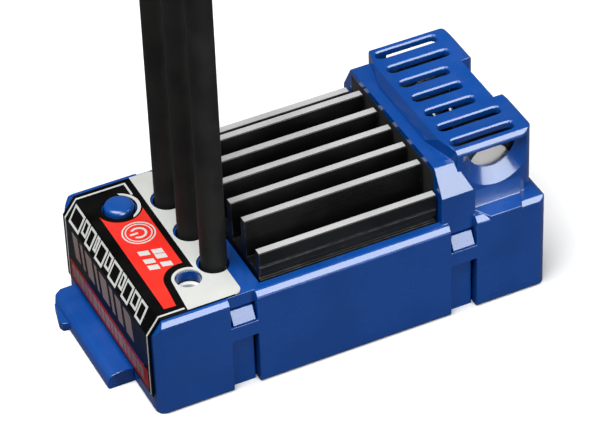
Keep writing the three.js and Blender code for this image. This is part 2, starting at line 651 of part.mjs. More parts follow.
function heatSinkScrew([x, y], index) {
  const head = POWER_BOARD.bottom - SMALL_GAP;
  const profile = [
    [0, head - 1.1], [1.3, head - 1.1], [1.75, head - 0.8], [1.85, head],
    [SCREW_SHANK, head], [SCREW_SHANK, SINK_BOTTOM + 2.6], [SCREW_SHANK - 0.3, SINK_BOTTOM + 3],
    [0, SINK_BOTTOM + 3],
  ];
  const body = toSolid(turned(profile, 12).rotateX(Math.PI / 2).translate(x, y, 0));
  const slot = block(x - 0.2, x + 0.2, y - 1.1, y + 1.1, head - 2, head - 0.7);
  const cross = block(x - 1.1, x + 1.1, y - 0.2, y + 0.2, head - 2, head - 0.7);
  addSolid(`heat_sink_screw_${index + 1}`, without(body, [slot, cross]), STEEL);
}

// The soft pad that closes the gap between the fin ends and the tower's front wall.
function endPad() {
  const x0 = POCKET_REAR + SMALL_GAP;
  return block(x0, x0 + PAD_THICKNESS, -PAD_HALF_LENGTH, PAD_HALF_LENGTH, PAD_BOTTOM, PAD_TOP);
}

// ---------------------------------------------------------------- label
function wrapLabel() {
  const end = LABEL_END;
  const lift = SMALL_GAP;
  const outer = lift + LABEL_THICKNESS;
  const bendZ = DECK_TOP - NOSE_CHAMFER_DROP;
  const bendX = FRONT + NOSE_CHAMFER_RUN;
  const profile = polygon([
    [FRONT - outer, TAB_THICKNESS + 0.5],
    [FRONT - lift, TAB_THICKNESS + 0.5],
    [FRONT - lift, bendZ + 0.02],
    [bendX - 0.03, DECK_TOP + lift],
    [end, DECK_TOP + lift],
    [end, DECK_TOP + outer],
    [bendX - 0.16, DECK_TOP + outer],
    [FRONT - outer, bendZ + 0.1],
  ]);
  const plan = roundedRectangle(FRONT - 3, end, LABEL_NEAR, LABEL_FAR, 1.1);
  const sheet = prismY(profile, LABEL_NEAR, LABEL_FAR).intersect(prismZ(plan, 0, DECK_TOP + 2, 5));
  const cuts = [-LEAD_PITCH, 0, LEAD_PITCH].map((y) =>
    cylinderZ(LEAD_X, y, LABEL_LEAD_HOLE, DECK_TOP - 1, DECK_TOP + 2, 24));
  cuts.push(cylinderZ(BUTTON_X, BUTTON_Y, BUTTON_RADIUS + 0.3, DECK_TOP - 1, DECK_TOP + 2, 24));
  cuts.push(cylinderZ(LED_X, LED_Y, LED_HOLE_RADIUS + 0.02, DECK_TOP - 1, DECK_TOP + 2, 24));
  return without(sheet, cuts);
}

// ---------------------------------------------------------------- deck controls
function buttonCap() {
  const flangeTop = DECK_UNDERSIDE - GAP;
  const barrel = DECK_TOP + 0.6;
  return turned([
    [0, flangeTop - 1.1], [0.9, flangeTop - 1.1], [0.9, flangeTop - 0.7], [2.6, flangeTop - 0.7],
    [2.6, flangeTop], [BUTTON_RADIUS, flangeTop], [BUTTON_RADIUS, barrel], [BUTTON_RADIUS - 0.12, barrel + 0.2],
    [BUTTON_RADIUS - 0.45, barrel + 0.32], [1, barrel + 0.4], [0, barrel + 0.42],
  ], 24).rotateX(Math.PI / 2).translate(BUTTON_X, BUTTON_Y, 0);
}

function switchBody() {
  const top = 11.7;
  const half = 2.25;
  const body = block(BUTTON_X - half, BUTTON_X + half, BUTTON_Y - half, BUTTON_Y + half,
    POWER_BOARD.top + SMALL_GAP, top);
  return body.subtract(cylinderZ(BUTTON_X, BUTTON_Y, 1, 10.3, top + 1));
}

function statusLed() {
  const base = POWER_BOARD.top + SMALL_GAP;
  return turned([
    [0, base], [1.55, base], [1.55, base + 0.5], [1.2, base + 0.5], [1.2, 12.6],
    [1.05, 12.95], [0.7, 13.2], [0, 13.3],
  ], 20).rotateX(Math.PI / 2).translate(LED_X, LED_Y, 0);
}

function ledCollar() {
  return turned([
    [1.35, 12.6], [2, 12.6], [2, 13.5], [1.85, 13.65], [1.5, 13.65], [1.35, 13.5], [1.35, 12.6],
  ], 20).rotateX(Math.PI / 2).translate(LED_X, LED_Y, 0);
}

// ---------------------------------------------------------------- motor leads
// The route of one lead: from its soldered end inside, through the deck, straight up.
function leadRoute(y) {
  const points = [];
  const steps = 8;
  for (let step = 0; step <= steps; step += 1) {
    points.push(new THREE.Vector3(LEAD_X, y, LEAD_BOTTOM + ((LEAD_TOP - LEAD_BOTTOM) * step) / steps));
  }
  return new THREE.CatmullRomCurve3(points);
}

function circleShape(radius, sides) {
  const points = [];
  for (let index = 0; index < sides; index += 1) {
    const angle = ((index + 0.5) / sides) * Math.PI * 2;
    points.push([radius * Math.cos(angle), radius * Math.sin(angle)]);
  }
  return polygon(points);
}

function tubeAlong(curve, radius, sides, steps) {
  return new THREE.ExtrudeGeometry(circleShape(radius, sides), { steps, extrudePath: curve, bevelEnabled: false });
}

function motorLead(name, y) {
  addGeometry(`motor_lead_${name}`, tubeAlong(leadRoute(y), LEAD_DIAMETER / 2, 8, 8), BLACK_SILICONE);
  const solder = turned([
    [0, POWER_BOARD.top + SMALL_GAP], [2.3, POWER_BOARD.top + SMALL_GAP], [2.1, 10.5], [1.5, 10.95], [0, 11.15],
  ]);
  addGeometry(`solder_joint_${name}`, solder.rotateX(Math.PI / 2).translate(LEAD_X, y, 0), SOLDER);
  const start = LEAD_TOP - 0.5;
  const sleeve = turned([
    [1.95, start - 4], [2.15, start - 4], [2.15, start], [2.65, start + 1.5], [2.65, start + 7],
    [2.45, start + 7], [2.45, start + 1.6], [1.95, start + 0.1], [1.95, start - 4],
  ]);
  addGeometry(`connector_sleeve_${name}`, sleeve.rotateX(Math.PI / 2).translate(LEAD_X, y, 0), BLUE_SHRINK);
  const socket = turned([
    [0, LEAD_TOP + 1], [2.25, LEAD_TOP + 1], [2.25, LEAD_TOP + 11], [2.05, LEAD_TOP + 11.2],
    [1.75, LEAD_TOP + 11.2], [1.75, LEAD_TOP + 3.5], [0, LEAD_TOP + 3.5],
  ]);
  addGeometry(`bullet_socket_${name}`, socket.rotateX(Math.PI / 2).translate(LEAD_X, y, 0), GOLD_PLATE);
}

function leadSeal() {
  const holes = [-LEAD_PITCH, 0, LEAD_PITCH].map((y) =>
    cylinderZ(LEAD_X, y, LEAD_DIAMETER / 2 + 0.1, LEAD_BOTTOM - 0.5, DECK_TOP));
  const plan = roundedRectangle(LEAD_X - 2.3, LEAD_X + 2.5, -LEAD_PITCH - 2.9, LEAD_PITCH + 2.9, 1);
  return without(prismZ(plan, 11.9, DECK_UNDERSIDE - SMALL_GAP, 4), holes);
}

// ---------------------------------------------------------------- capacitors
function capacitor(name, side) {
  const place = (geometry) => geometry.translate(VENT_CENTRE_X, 0, CAPACITOR_Z);
  const facing = (geometry) => place(side < 0 ? geometry.rotateX(Math.PI) : geometry);
  const end = CAPACITOR_END;
  const open = CAPACITOR_INNER;
  const r = CAPACITOR_RADIUS;
  addGeometry(`capacitor_sleeve_${name}`, facing(turned([
    [r - SLEEVE_LIP, end - SLEEVE_WALL], [r - 0.45, end - SLEEVE_WALL], [r - SLEEVE_WALL, end - 0.45],
    [r - SLEEVE_WALL, open], [r, open], [r, end - 0.5], [r - 0.15, end - 0.15], [r - 0.5, end],
    [r - SLEEVE_LIP, end], [r - SLEEVE_LIP, end - SLEEVE_WALL],
  ], 28)), BLACK_SLEEVE);
  addGeometry(`capacitor_can_${name}`, facing(turned([
    [0, open + 0.3], [r - 0.6, open + 0.3], [r - 0.6, open + 0.1], [r - 0.3, open + 0.1],
    [r - 0.3, end - 0.55], [r - 0.55, end - 0.28], [0, end - 0.28],
  ], 24)), CAN_ALUMINIUM);
  addGeometry(`capacitor_bung_${name}`, facing(turned([
    [0, open - 0.7], [2.4, open - 0.7], [2.6, open - 0.5], [2.6, open + 0.2], [0, open + 0.2],
  ], 20)), BLACK_RUBBER);
  for (const [sign, offset] of [['positive', -CAPACITOR_LEAD_OFFSET], ['negative', CAPACITOR_LEAD_OFFSET]]) {
    const inward = side * (open - 0.75);
    const down = side * 1.3;
    const route = new THREE.CatmullRomCurve3([
      new THREE.Vector3(VENT_CENTRE_X + offset, inward, CAPACITOR_Z),
      new THREE.Vector3(VENT_CENTRE_X + offset, (inward + down) / 2 + side * 0.2, CAPACITOR_Z - 0.1),
      new THREE.Vector3(VENT_CENTRE_X + offset, down + side * 0.1, CAPACITOR_Z - 0.9),
      new THREE.Vector3(VENT_CENTRE_X + offset, down, CAPACITOR_Z - 3),
      new THREE.Vector3(VENT_CENTRE_X + offset, down, POWER_BOARD.top + 0.15),
    ]);
    addGeometry(`capacitor_lead_${name}_${sign}`, tubeAlong(route, CAPACITOR_LEAD_RADIUS, 6, 12), STEEL);
  }
}

// ---------------------------------------------------------------- boards
function powerBoard() {
  const board = prismZ(roundedRectangle(-26.6, 26.6, -13.2, 13.2, 1), POWER_BOARD.bottom, POWER_BOARD.top, 3);
  return without(board, SCREW_PLACES.map(([x, y]) => cylinderZ(x, y, SCREW_SHANK + 0.2, 8, 11, 12)));
}

function controlBoard() {
  const board = prismZ(roundedRectangle(-25, 24, -12, 12, 1), CONTROL_BOARD.bottom, CONTROL_BOARD.top, 3);
  return without(board, POST_PLACES.map(([x, y]) => cylinderZ(x, y, 0.9, 3, 6, 12)));
}

function chip(name, x, y, length, width, height, board) {
  const z0 = board.top + SMALL_GAP;
  const profile = polygon([
    [x - length / 2, z0], [x + length / 2, z0], [x + length / 2, z0 + height * 0.6],
    [x + length / 2 - 0.2, z0 + height], [x - length / 2 + 0.2, z0 + height],
    [x - length / 2, z0 + height * 0.6],
  ]);
  addSolid(name, prismY(profile, y - width / 2, y + width / 2), CHIP_BLACK);
}

function grommet(name, y, holeRadius) {
  const r = holeRadius - SMALL_GAP;
  const bush = turned([
    [r - 0.5, REAR - WALL - 0.7], [r + 0.5, REAR - WALL - 0.7], [r + 0.5, REAR - WALL - SMALL_GAP],
    [r, REAR - WALL - SMALL_GAP], [r, REAR + 0.1], [r - 0.2, REAR + 0.3], [r - 0.5, REAR + 0.3],
    [r - 0.5, REAR - WALL - 0.7],
  ]);
  // Lathe axis Y turned onto +X.
  addGeometry(name, bush.rotateZ(-Math.PI / 2).translate(0, y, CABLE_EXIT_Z), BLACK_RUBBER);
}

// ---------------------------------------------------------------- assembly
addSolid('housing', housing(), BLUE_PLASTIC);
addSolid('base_plate', basePlate(), BLUE_PLASTIC);
addSolid('base_seal', baseSeal(), BLACK_RUBBER);
addSolid('heat_sink', heatSink(), BLACK_ANODISED);
SCREW_PLACES.forEach(heatSinkScrew);
addSolid('fin_end_pad', endPad(), BLACK_RUBBER);
addSolid('wrap_label', wrapLabel(), LABEL_FILM);

addGeometry('power_button', buttonCap(), BLUE_PLASTIC);
addSolid('switch_body', switchBody(), SWITCH_CREAM);
addSolid('switch_plunger', cylinderZ(BUTTON_X, BUTTON_Y, 0.8, 10.9, 12.4), CHIP_BLACK);
addGeometry('status_led', statusLed(), SMOKED_LENS);
addGeometry('led_collar', ledCollar(), GREY_COLLAR);

LEAD_NAMES.forEach((name, index) => motorLead(name, (index - 1) * LEAD_PITCH));
addSolid('lead_seal', leadSeal(), BLACK_RUBBER);

capacitor('near', -1);
capacitor('far', 1);

addSolid('power_board', powerBoard(), BOARD_GREEN);
addSolid('control_board', controlBoard(), BOARD_GREEN);
for (let index = 0; index < 6; index += 1) {
  const x = (Math.floor(index / 2) - 1) * TRANSISTOR.pitchX;
  const y = index % 2 === 0 ? -TRANSISTOR.y : TRANSISTOR.y;
  chip(`mosfet_${index + 1}`, x, y, TRANSISTOR.length, TRANSISTOR.width, TRANSISTOR.height, POWER_BOARD);
}
const { halfLength, halfWidth } = THERMAL_PAD;
addSolid('thermal_pad',
  block(-halfLength, halfLength, -halfWidth, halfWidth, THERMAL_PAD.bottom, THERMAL_PAD.top), PAD_GREY);
chip('microcontroller', -6, 0, 7, 7, 1.1, CONTROL_BOARD);
[-DRIVER.pitchY, 0, DRIVER.pitchY].forEach((y, index) =>
  chip(`gate_driver_${index + 1}`, DRIVER.x, y, DRIVER.size, DRIVER.size, DRIVER.height, CONTROL_BOARD));
chip('voltage_regulator', 16, -4.5, 6.5, 6, 2.1, CONTROL_BOARD);
chip('board_header', -17.5, 0, 2.5, 15, POWER_BOARD.bottom - CONTROL_BOARD.top - 2 * SMALL_GAP, CONTROL_BOARD);

grommet('battery_grommet_near', -BATTERY_EXIT_Y, BATTERY_EXIT_RADIUS);
grommet('battery_grommet_far', BATTERY_EXIT_Y, BATTERY_EXIT_RADIUS);
grommet('receiver_grommet', RECEIVER_EXIT_Y, RECEIVER_EXIT_RADIUS);

export default assembly;
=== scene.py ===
"""Looks of a waterproof brushless speed controller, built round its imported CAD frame.

Every length in the classes below is in millimetres, and MM turns it into Blender's metres.
+X runs from the labelled front end to the vented capacitor tower, +Y to the far long side, +Z up.
"""

import logging
import math
from dataclasses import dataclass, field
from enum import Enum

import bmesh
import bpy
from mathutils import Matrix, Vector


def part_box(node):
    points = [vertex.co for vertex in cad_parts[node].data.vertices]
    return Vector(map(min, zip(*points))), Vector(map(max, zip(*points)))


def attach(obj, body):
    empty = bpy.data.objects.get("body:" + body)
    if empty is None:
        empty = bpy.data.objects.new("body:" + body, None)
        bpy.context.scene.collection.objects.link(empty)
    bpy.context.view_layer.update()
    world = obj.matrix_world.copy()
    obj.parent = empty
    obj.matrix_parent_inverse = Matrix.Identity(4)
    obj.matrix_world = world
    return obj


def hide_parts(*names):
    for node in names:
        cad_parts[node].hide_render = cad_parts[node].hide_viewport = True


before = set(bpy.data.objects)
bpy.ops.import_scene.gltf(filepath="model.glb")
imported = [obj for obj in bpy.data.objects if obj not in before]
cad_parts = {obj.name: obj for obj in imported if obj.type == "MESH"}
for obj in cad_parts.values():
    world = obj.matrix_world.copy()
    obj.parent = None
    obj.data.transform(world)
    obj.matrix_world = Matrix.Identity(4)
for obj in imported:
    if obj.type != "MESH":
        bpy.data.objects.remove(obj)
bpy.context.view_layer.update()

MM = 0.001
LOG = logging.getLogger("speed_controller")

Triple = tuple[float, float, float]
Colour = Triple
Pair = tuple[float, float]

# Places that more than one sub-assembly uses.
BUTTON_AXIS: Pair = (-23.1, 8.8)
LED_AXIS: Pair = (-20.9, -8.8)
LEAD_X = -16.6
LEAD_PITCH = 7.4


def box_mm(node: str) -> tuple[Vector, Vector]:
    """Give a CAD node's corners in millimetres.

    Args:
        node: Name of the CAD node.

    Returns:
        Its lowest and its highest corner.
    """
    low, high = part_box(node)
    return low / MM, high / MM


# ---------------------------------------------------------------- shader node helpers
class Nodes:
    """Adds and links nodes in one shader tree."""

    def __init__(self, tree: bpy.types.NodeTree) -> None:
        """Work in the given node tree."""
        self.tree = tree

    def add(self, kind: str, **settings: object) -> bpy.types.Node:
        """Add a node.

        Args:
            kind: Blender's type name of the node.
            settings: Properties to set on it.

        Returns:
            The new node.
        """
        node = self.tree.nodes.new(kind)
        for key, value in settings.items():
            setattr(node, key, value)
        return node

    def feed(self, socket: bpy.types.NodeSocket, value: object) -> None:
        """Link a socket to the value, or set it if the value is a plain number or colour.

        Args:
            socket: The input socket.
            value: An output socket, a number or a colour.
        """
        if isinstance(value, bpy.types.NodeSocket):
            self.tree.links.new(value, socket)
        else:
            socket.default_value = value

    def math(self, operation: str, *values: object, clamp: bool = False) -> bpy.types.NodeSocket:
        """Do one sum.

        Args:
            operation: Name of the Math node's operation.
            values: Sockets or numbers that go in.
            clamp: Whether the result stays from 0 to 1.

        Returns:
            The result's socket.
        """
        node = self.add("ShaderNodeMath", operation=operation, use_clamp=clamp)
        for socket, value in zip(node.inputs, values):
            self.feed(socket, value)
        return node.outputs[0]

    def blend(self, factor: object, first: object, second: object) -> bpy.types.NodeSocket:
        """Mix two colours.

        Args:
            factor: Share of the second colour.
            first: Colour at factor 0.
            second: Colour at factor 1.

        Returns:
            The mixed colour's socket.
        """
        node = self.add("ShaderNodeMix", data_type="RGBA")
        self.feed(node.inputs[0], factor)
        for socket, colour in ((node.inputs[6], first), (node.inputs[7], second)):
            self.feed(socket, (*colour, 1.0) if isinstance(colour, tuple) else colour)
        return node.outputs[2]

    def ramp(self, value: object, low: float, high: float) -> bpy.types.NodeSocket:
        """Stretch a value so that low becomes 0 and high becomes 1, smoothly.

        Args:
            value: Socket to stretch.
            low: Value that becomes 0.
            high: Value that becomes 1.

        Returns:
            The stretched value's socket.
        """
        node = self.add("ShaderNodeMapRange", interpolation_type="SMOOTHSTEP")
        self.feed(node.inputs["Value"], value)
        node.inputs["From Min"].default_value = low
        node.inputs["From Max"].default_value = high
        return node.outputs["Result"]

    def place(self, stretch: Triple = (1, 1, 1)) -> bpy.types.NodeSocket:
        """Give the surface's own position, stretched along the axes.

        Args:
            stretch: Factor along X, Y and Z.

        Returns:
            The position's socket.
        """
        coordinates = self.add("ShaderNodeTexCoord")
        mapping = self.add("ShaderNodeMapping")
        mapping.inputs["Scale"].default_value = stretch
        self.tree.links.new(coordinates.outputs["Object"], mapping.inputs["Vector"])
        return mapping.outputs["Vector"]

    def noise(
        self, scale: object, detail: float = 3, vector: object = None
    ) -> bpy.types.NodeSocket:
        """Give a cloudy value from 0 to 1.

        Args:
            scale: Number of clouds in a metre.
            detail: Number of finer layers.
            vector: Position to read it at, or None for the surface's own.

        Returns:
            The value's socket.
        """
        node = self.add("ShaderNodeTexNoise")
        node.inputs["Detail"].default_value = detail
        self.feed(node.inputs["Scale"], scale)
        self.feed(node.inputs["Vector"], self.place() if vector is None else vector)
        return node.outputs["Fac"]


class Effect(Enum):
    """The shared surface effects, each one node group."""

    GRAIN = "moulded grain"
    CLOUDS = "tone clouds"
    WEAR = "edge wear"
    DUST = "settled dust"
    SCRATCHES = "fine scratches"
    BRUSHING = "brushed lines"


class EffectLibrary:
    """Builds each shared effect's node group once and places it in materials."""

    groups: dict[Effect, bpy.types.NodeTree] = {}

    @classmethod
    def group(cls, effect: Effect) -> bpy.types.NodeTree:
        """Give an effect's node group, and build it the first time.

        Args:
            effect: Which effect.

        Returns:
            The node group.
        """
        if effect not in cls.groups:
            makers = {
                Effect.GRAIN: cls._grain,
                Effect.CLOUDS: cls._clouds,
                Effect.WEAR: cls._wear,
                Effect.DUST: cls._dust,
                Effect.SCRATCHES: cls._scratches,
                Effect.BRUSHING: cls._brushing,
            }
            cls.groups[effect] = makers[effect](effect.value)
        return cls.groups[effect]

    @classmethod
    def use(cls, nodes: Nodes, effect: Effect, **values: float) -> bpy.types.NodeSocket:
        """Place an effect in a material.

        Args:
            nodes: The material's nodes.
            effect: Which effect.
            values: The group's inputs by name.

        Returns:
            The group's one output.
        """
        node = nodes.add("ShaderNodeGroup", node_tree=cls.group(effect))
        for key, value in values.items():
            node.inputs[key].default_value = value
        return node.outputs[0]

    @staticmethod
    def _start(
        name: str, output: str, **inputs: float
    ) -> tuple[Nodes, bpy.types.Node, bpy.types.Node]:
        """Make an empty group.

        Args:
            name: Name of the group.
            output: Name of its one output.
            inputs: Its inputs, with the value each has unless it is set.

        Returns:
            Its nodes, its input node and its output node.
        """
        tree = bpy.data.node_groups.new(name, "ShaderNodeTree")
        for key, value in inputs.items():
            socket = tree.interface.new_socket(key, in_out="INPUT", socket_type="NodeSocketFloat")
            socket.default_value = value
        tree.interface.new_socket(output, in_out="OUTPUT", socket_type="NodeSocketFloat")
        nodes = Nodes(tree)
        return nodes, nodes.add("NodeGroupInput"), nodes.add("NodeGroupOutput")

    @classmethod
    def _grain(cls, name: str) -> bpy.types.NodeTree:
        """Build the fine bumps that a spark-eroded mould leaves.

        Args:
            name: Name of the group.

        Returns:
            The group.
        """
        coarse_scale, fine_share, coarse_share = 0.23, 0.65, 0.35
        nodes, given, out = cls._start(name, "Height", Scale=3000.0)
        fine = nodes.noise(given.outputs["Scale"], detail=2)
        wider = nodes.math("MULTIPLY", given.outputs["Scale"], coarse_scale)
        coarse = nodes.noise(wider, detail=1)
        fine = nodes.math("MULTIPLY", fine, fine_share)
        coarse = nodes.math("MULTIPLY", coarse, coarse_share)
        nodes.feed(out.inputs[0], nodes.math("ADD", fine, coarse))
        return nodes.tree

    @classmethod
    def _clouds(cls, name: str) -> bpy.types.NodeTree:
        """Build the slow change of tone across a part.

        Args:
            name: Name of the group.

        Returns:
            The group.
        """
        middle, least_spread = 0.5, 0.05
        nodes, given, out = cls._start(name, "Mask", Scale=90.0, Spread=0.2)
        spread = nodes.math("MULTIPLY", given.outputs["Spread"], middle)
        cloud = nodes.noise(given.outputs["Scale"], detail=4)
        centred = nodes.math("SUBTRACT", cloud, middle)
        shifted = nodes.math("DIVIDE", centred, nodes.math("ADD", spread, least_spread))
        nodes.feed(out.inputs[0], nodes.math("ADD", shifted, middle, clamp=True))
        return nodes.tree

    @classmethod
    def _wear(cls, name: str) -> bpy.types.NodeTree:
        """Build the broken line of rubbed material along the edges.

        Args:
            name: Name of the group.

        Returns:
            The group.
        """
        patch_scale = 900.0
        nodes, given, out = cls._start(name, "Mask", Width=0.0002, Amount=0.5)
        rounded = nodes.add("ShaderNodeBevel", samples=4)
        nodes.feed(rounded.inputs["Radius"], given.outputs["Width"])
        surface = nodes.add("ShaderNodeNewGeometry")
        facing = nodes.add("ShaderNodeVectorMath", operation="DOT_PRODUCT")
        nodes.feed(facing.inputs[0], rounded.outputs["Normal"])
        nodes.feed(facing.inputs[1], surface.outputs["Normal"])
        turned = nodes.math("SUBTRACT", 1.0, facing.outputs["Value"])
        edge = nodes.ramp(turned, low=0.02, high=0.2)
        broken = nodes.ramp(nodes.noise(patch_scale, detail=5), low=0.45, high=0.62)
        line = nodes.math("MULTIPLY", edge, broken)
        nodes.feed(out.inputs[0], nodes.math("MULTIPLY", line, given.outputs["Amount"], clamp=True))
        return nodes.tree

    @classmethod
    def _dust(cls, name: str) -> bpy.types.NodeTree:
        """Build the thin dust that lies on faces that look up.

        Args:
            name: Name of the group.

        Returns:
            The group.
        """
        patch_scale = 260.0
        nodes, given, out = cls._start(name, "Mask", Amount=0.1)
        surface = nodes.add("ShaderNodeNewGeometry")
        apart = nodes.add("ShaderNodeSeparateXYZ")
        nodes.feed(apart.inputs[0], surface.outputs["Normal"])
        up = nodes.ramp(apart.outputs["Z"], low=0.3, high=0.95)
        patchy = nodes.ramp(nodes.noise(patch_scale, detail=6), low=0.35, high=0.75)
        lying = nodes.math("MULTIPLY", up, patchy)
        shown = nodes.math("MULTIPLY", lying, given.outputs["Amount"], clamp=True)
        nodes.feed(out.inputs[0], shown)
        return nodes.tree

    @classmethod
    def _scratches(cls, name: str) -> bpy.types.NodeTree:
        """Build the crossed hairline scratches of handling.

        Args:
            name: Name of the group.

        Returns:
            The group.
        """
        nodes, given, out = cls._start(name, "Mask", Amount=0.3)
        marks = []
        for stretch in ((60, 1400, 1400), (1300, 80, 900)):
            line = nodes.noise(1.0, detail=2, vector=nodes.place(stretch))
            marks.append(nodes.ramp(line, low=0.66, high=0.72))
        crossed = nodes.math("MAXIMUM", *marks)
        shown = nodes.math("MULTIPLY", crossed, given.outputs["Amount"], clamp=True)
        nodes.feed(out.inputs[0], shown)
        return nodes.tree

    @classmethod
    def _brushing(cls, name: str) -> bpy.types.NodeTree:
        """Build the close parallel lines that a cutter leaves along X.

        Args:
            name: Name of the group.

        Returns:
            The group.
        """
        stretch = (120, 9000, 9000)
        nodes, given, out = cls._start(name, "Height", Fineness=1.0)
        lines = nodes.noise(given.outputs["Fineness"], detail=3, vector=nodes.place(stretch))
        nodes.feed(out.inputs[0], lines)
        return nodes.tree


# ---------------------------------------------------------------- finishes
SCRATCH_ROUGHNESS = 0.25
DUST_COLOUR: Colour = (0.45, 0.43, 0.4)
DUST_ROUGHNESS = 0.5
COAT_ROUGHNESS = 0.12
BUMP_DISTANCE = 0.2 * MM


class Texture(Enum):
    """What gives a finish its bump."""

    MOULDED = "moulded"
    BRUSHED = "brushed"


@dataclass(frozen=True)
class Finish:
    """One finish, with its two tones, gloss, grain and age."""

    name: str
    slot: str
    tone: Colour
    second: Colour
    roughness: float
    spread: float = 0.08
    metallic: float = 0.0
    ior: float = 1.45
    coat: float = 0.0
    texture: Texture = Texture.MOULDED
    grain_scale: float = 3000.0
    grain_depth: float = 0.08
    worn: Colour = (0.5, 0.5, 0.5)
    wear: float = 0.0
    dust: float = 0.05
    scratches: float = 0.15
    cloud_scale: float = 90.0

    def material(self) -> bpy.types.Material:
        """Give this finish's material, and build it the first time.

        Returns:
            The material.
        """
        known = bpy.data.materials.get(self.name)
        if known:
            return known
        material = bpy.data.materials.new(self.name)
        material.use_nodes = True
        nodes = Nodes(material.node_tree)
        shader = material.node_tree.nodes["Principled BSDF"]
        clouds = EffectLibrary.use(nodes, Effect.CLOUDS, Scale=self.cloud_scale)
        colour = nodes.blend(clouds, self.tone, self.second)
        rough = nodes.math("ADD", nodes.math("MULTIPLY", clouds, self.spread), self.roughness)
        if self.scratches:
            marks = EffectLibrary.use(nodes, Effect.SCRATCHES, Amount=self.scratches)
            rough = nodes.math("ADD", rough, nodes.math("MULTIPLY", marks, SCRATCH_ROUGHNESS))
        if self.wear:
            rubbed = EffectLibrary.use(nodes, Effect.WEAR, Amount=self.wear)
            colour = nodes.blend(rubbed, colour, self.worn)
        if self.dust:
            dust = EffectLibrary.use(nodes, Effect.DUST, Amount=self.dust)
            colour = nodes.blend(dust, colour, DUST_COLOUR)
            matt = nodes.math("MULTIPLY", dust, DUST_ROUGHNESS)
            rough = nodes.math("ADD", rough, matt, clamp=True)
        nodes.feed(shader.inputs["Base Color"], colour)
        nodes.feed(shader.inputs["Roughness"], rough)
        shader.inputs["Metallic"].default_value = self.metallic
        shader.inputs["IOR"].default_value = self.ior
        shader.inputs["Coat Weight"].default_value = self.coat
        shader.inputs["Coat Roughness"].default_value = COAT_ROUGHNESS
        self._bump(nodes, shader)
        return material

    def _bump(self, nodes: Nodes, shader: bpy.types.Node) -> None:
        """Give the shader its fine bump.

        Args:
            nodes: The material's nodes.
            shader: The Principled node.
        """
        if self.texture is Texture.BRUSHED:
            height = EffectLibrary.use(nodes, Effect.BRUSHING)
        else:
            height = EffectLibrary.use(nodes, Effect.GRAIN, Scale=self.grain_scale)
        bump = nodes.add("ShaderNodeBump")
        bump.inputs["Strength"].default_value = self.grain_depth
        bump.inputs["Distance"].default_value = BUMP_DISTANCE
        nodes.feed(bump.inputs["Height"], height)
        nodes.feed(shader.inputs["Normal"], bump.outputs["Normal"])


BLUE_PLASTIC = Finish(
    "blue moulded plastic", "blue_plastic",
    tone=(0.0006, 0.05, 0.255), second=(0.001, 0.056, 0.285), roughness=0.2, coat=0.5,
    worn=(0.03, 0.18, 0.5), wear=0.2, dust=0.02,
)
BUTTON_PLASTIC = Finish(
    "blue button plastic", "button_plastic",
    tone=(0.001, 0.055, 0.26), second=(0.0015, 0.062, 0.29), roughness=0.16, coat=0.6, dust=0.02,
)
BLACK_ANODISED = Finish(
    "black anodised aluminium", "black_anodised",
    tone=(0.0025, 0.0025, 0.003), second=(0.005, 0.005, 0.0055), roughness=0.38, ior=1.3,
    texture=Texture.BRUSHED, grain_depth=0.2, worn=(0.3, 0.3, 0.31), wear=0.3, dust=0.01,
)
FIN_EDGE = Finish(
    "machined fin edge", "black_anodised",
    tone=(0.4, 0.4, 0.4), second=(0.46, 0.46, 0.46), roughness=0.45,
    texture=Texture.BRUSHED, grain_depth=0.35, dust=0.03,
)
LABEL_BLACK = Finish(
    "label black", "label_film",
    tone=(0.0015, 0.0015, 0.0015), second=(0.003, 0.003, 0.003), roughness=0.24, ior=1.14,
    grain_scale=1500, dust=0.006,
)
LABEL_WHITE = Finish(
    "label white", "label_film",
    tone=(0.47, 0.48, 0.46), second=(0.51, 0.52, 0.5), roughness=0.34, ior=1.4, dust=0.03,
)
LABEL_RED = Finish(
    "label red", "label_film",
    tone=(0.6, 0.018, 0.011), second=(0.66, 0.024, 0.014), roughness=0.3, ior=1.4, dust=0.02,
)
LABEL_MAROON = Finish(
    "label maroon", "label_film",
    tone=(0.26, 0.01, 0.008), second=(0.33, 0.015, 0.01), roughness=0.3, ior=1.2,
)
LABEL_BROWN = Finish(
    "label grey brown", "label_film",
    tone=(0.18, 0.13, 0.115), second=(0.26, 0.19, 0.17), roughness=0.3, ior=1.2,
)
SILICONE = Finish(
    "black silicone wire", "silicone_wire",
    tone=(0.01, 0.0105, 0.01), second=(0.015, 0.0155, 0.0145), roughness=0.55, ior=1.2,
    grain_scale=5000, grain_depth=0.15, cloud_scale=160,
)
RUBBER = Finish(
    "black rubber", "black_rubber",
    tone=(0.016, 0.016, 0.015), second=(0.026, 0.026, 0.024), roughness=0.65,
    grain_depth=0.25, dust=0.15,
)
COLLAR = Finish(
    "grey collar plastic", "collar_plastic",
    tone=(0.62, 0.63, 0.64), second=(0.7, 0.71, 0.72), roughness=0.4,
)
LENS = Finish(
    "smoked lens", "led_lens",
    tone=(0.002, 0.002, 0.003), second=(0.004, 0.004, 0.005), roughness=0.2, spread=0.03,
    coat=0.1, dust=0.0, scratches=0.0,
)
BOARD = Finish(
    "green circuit board", "board",
    tone=(0.006, 0.07, 0.022), second=(0.012, 0.13, 0.045), roughness=0.35,
    cloud_scale=900, grain_depth=0.3, dust=0.08,
)
CHIP = Finish(
    "chip epoxy", "chip_epoxy",
    tone=(0.012, 0.012, 0.013), second=(0.02, 0.02, 0.021), roughness=0.5, grain_scale=9000,
)
STEEL = Finish(
    "bright steel", "steel",
    tone=(0.55, 0.55, 0.56), second=(0.63, 0.63, 0.64), roughness=0.28, metallic=1.0,
)
TINNED = Finish(
    "tinned wire", "tinned_wire",
    tone=(0.4, 0.4, 0.4), second=(0.5, 0.5, 0.5), roughness=0.45, metallic=1.0,
)
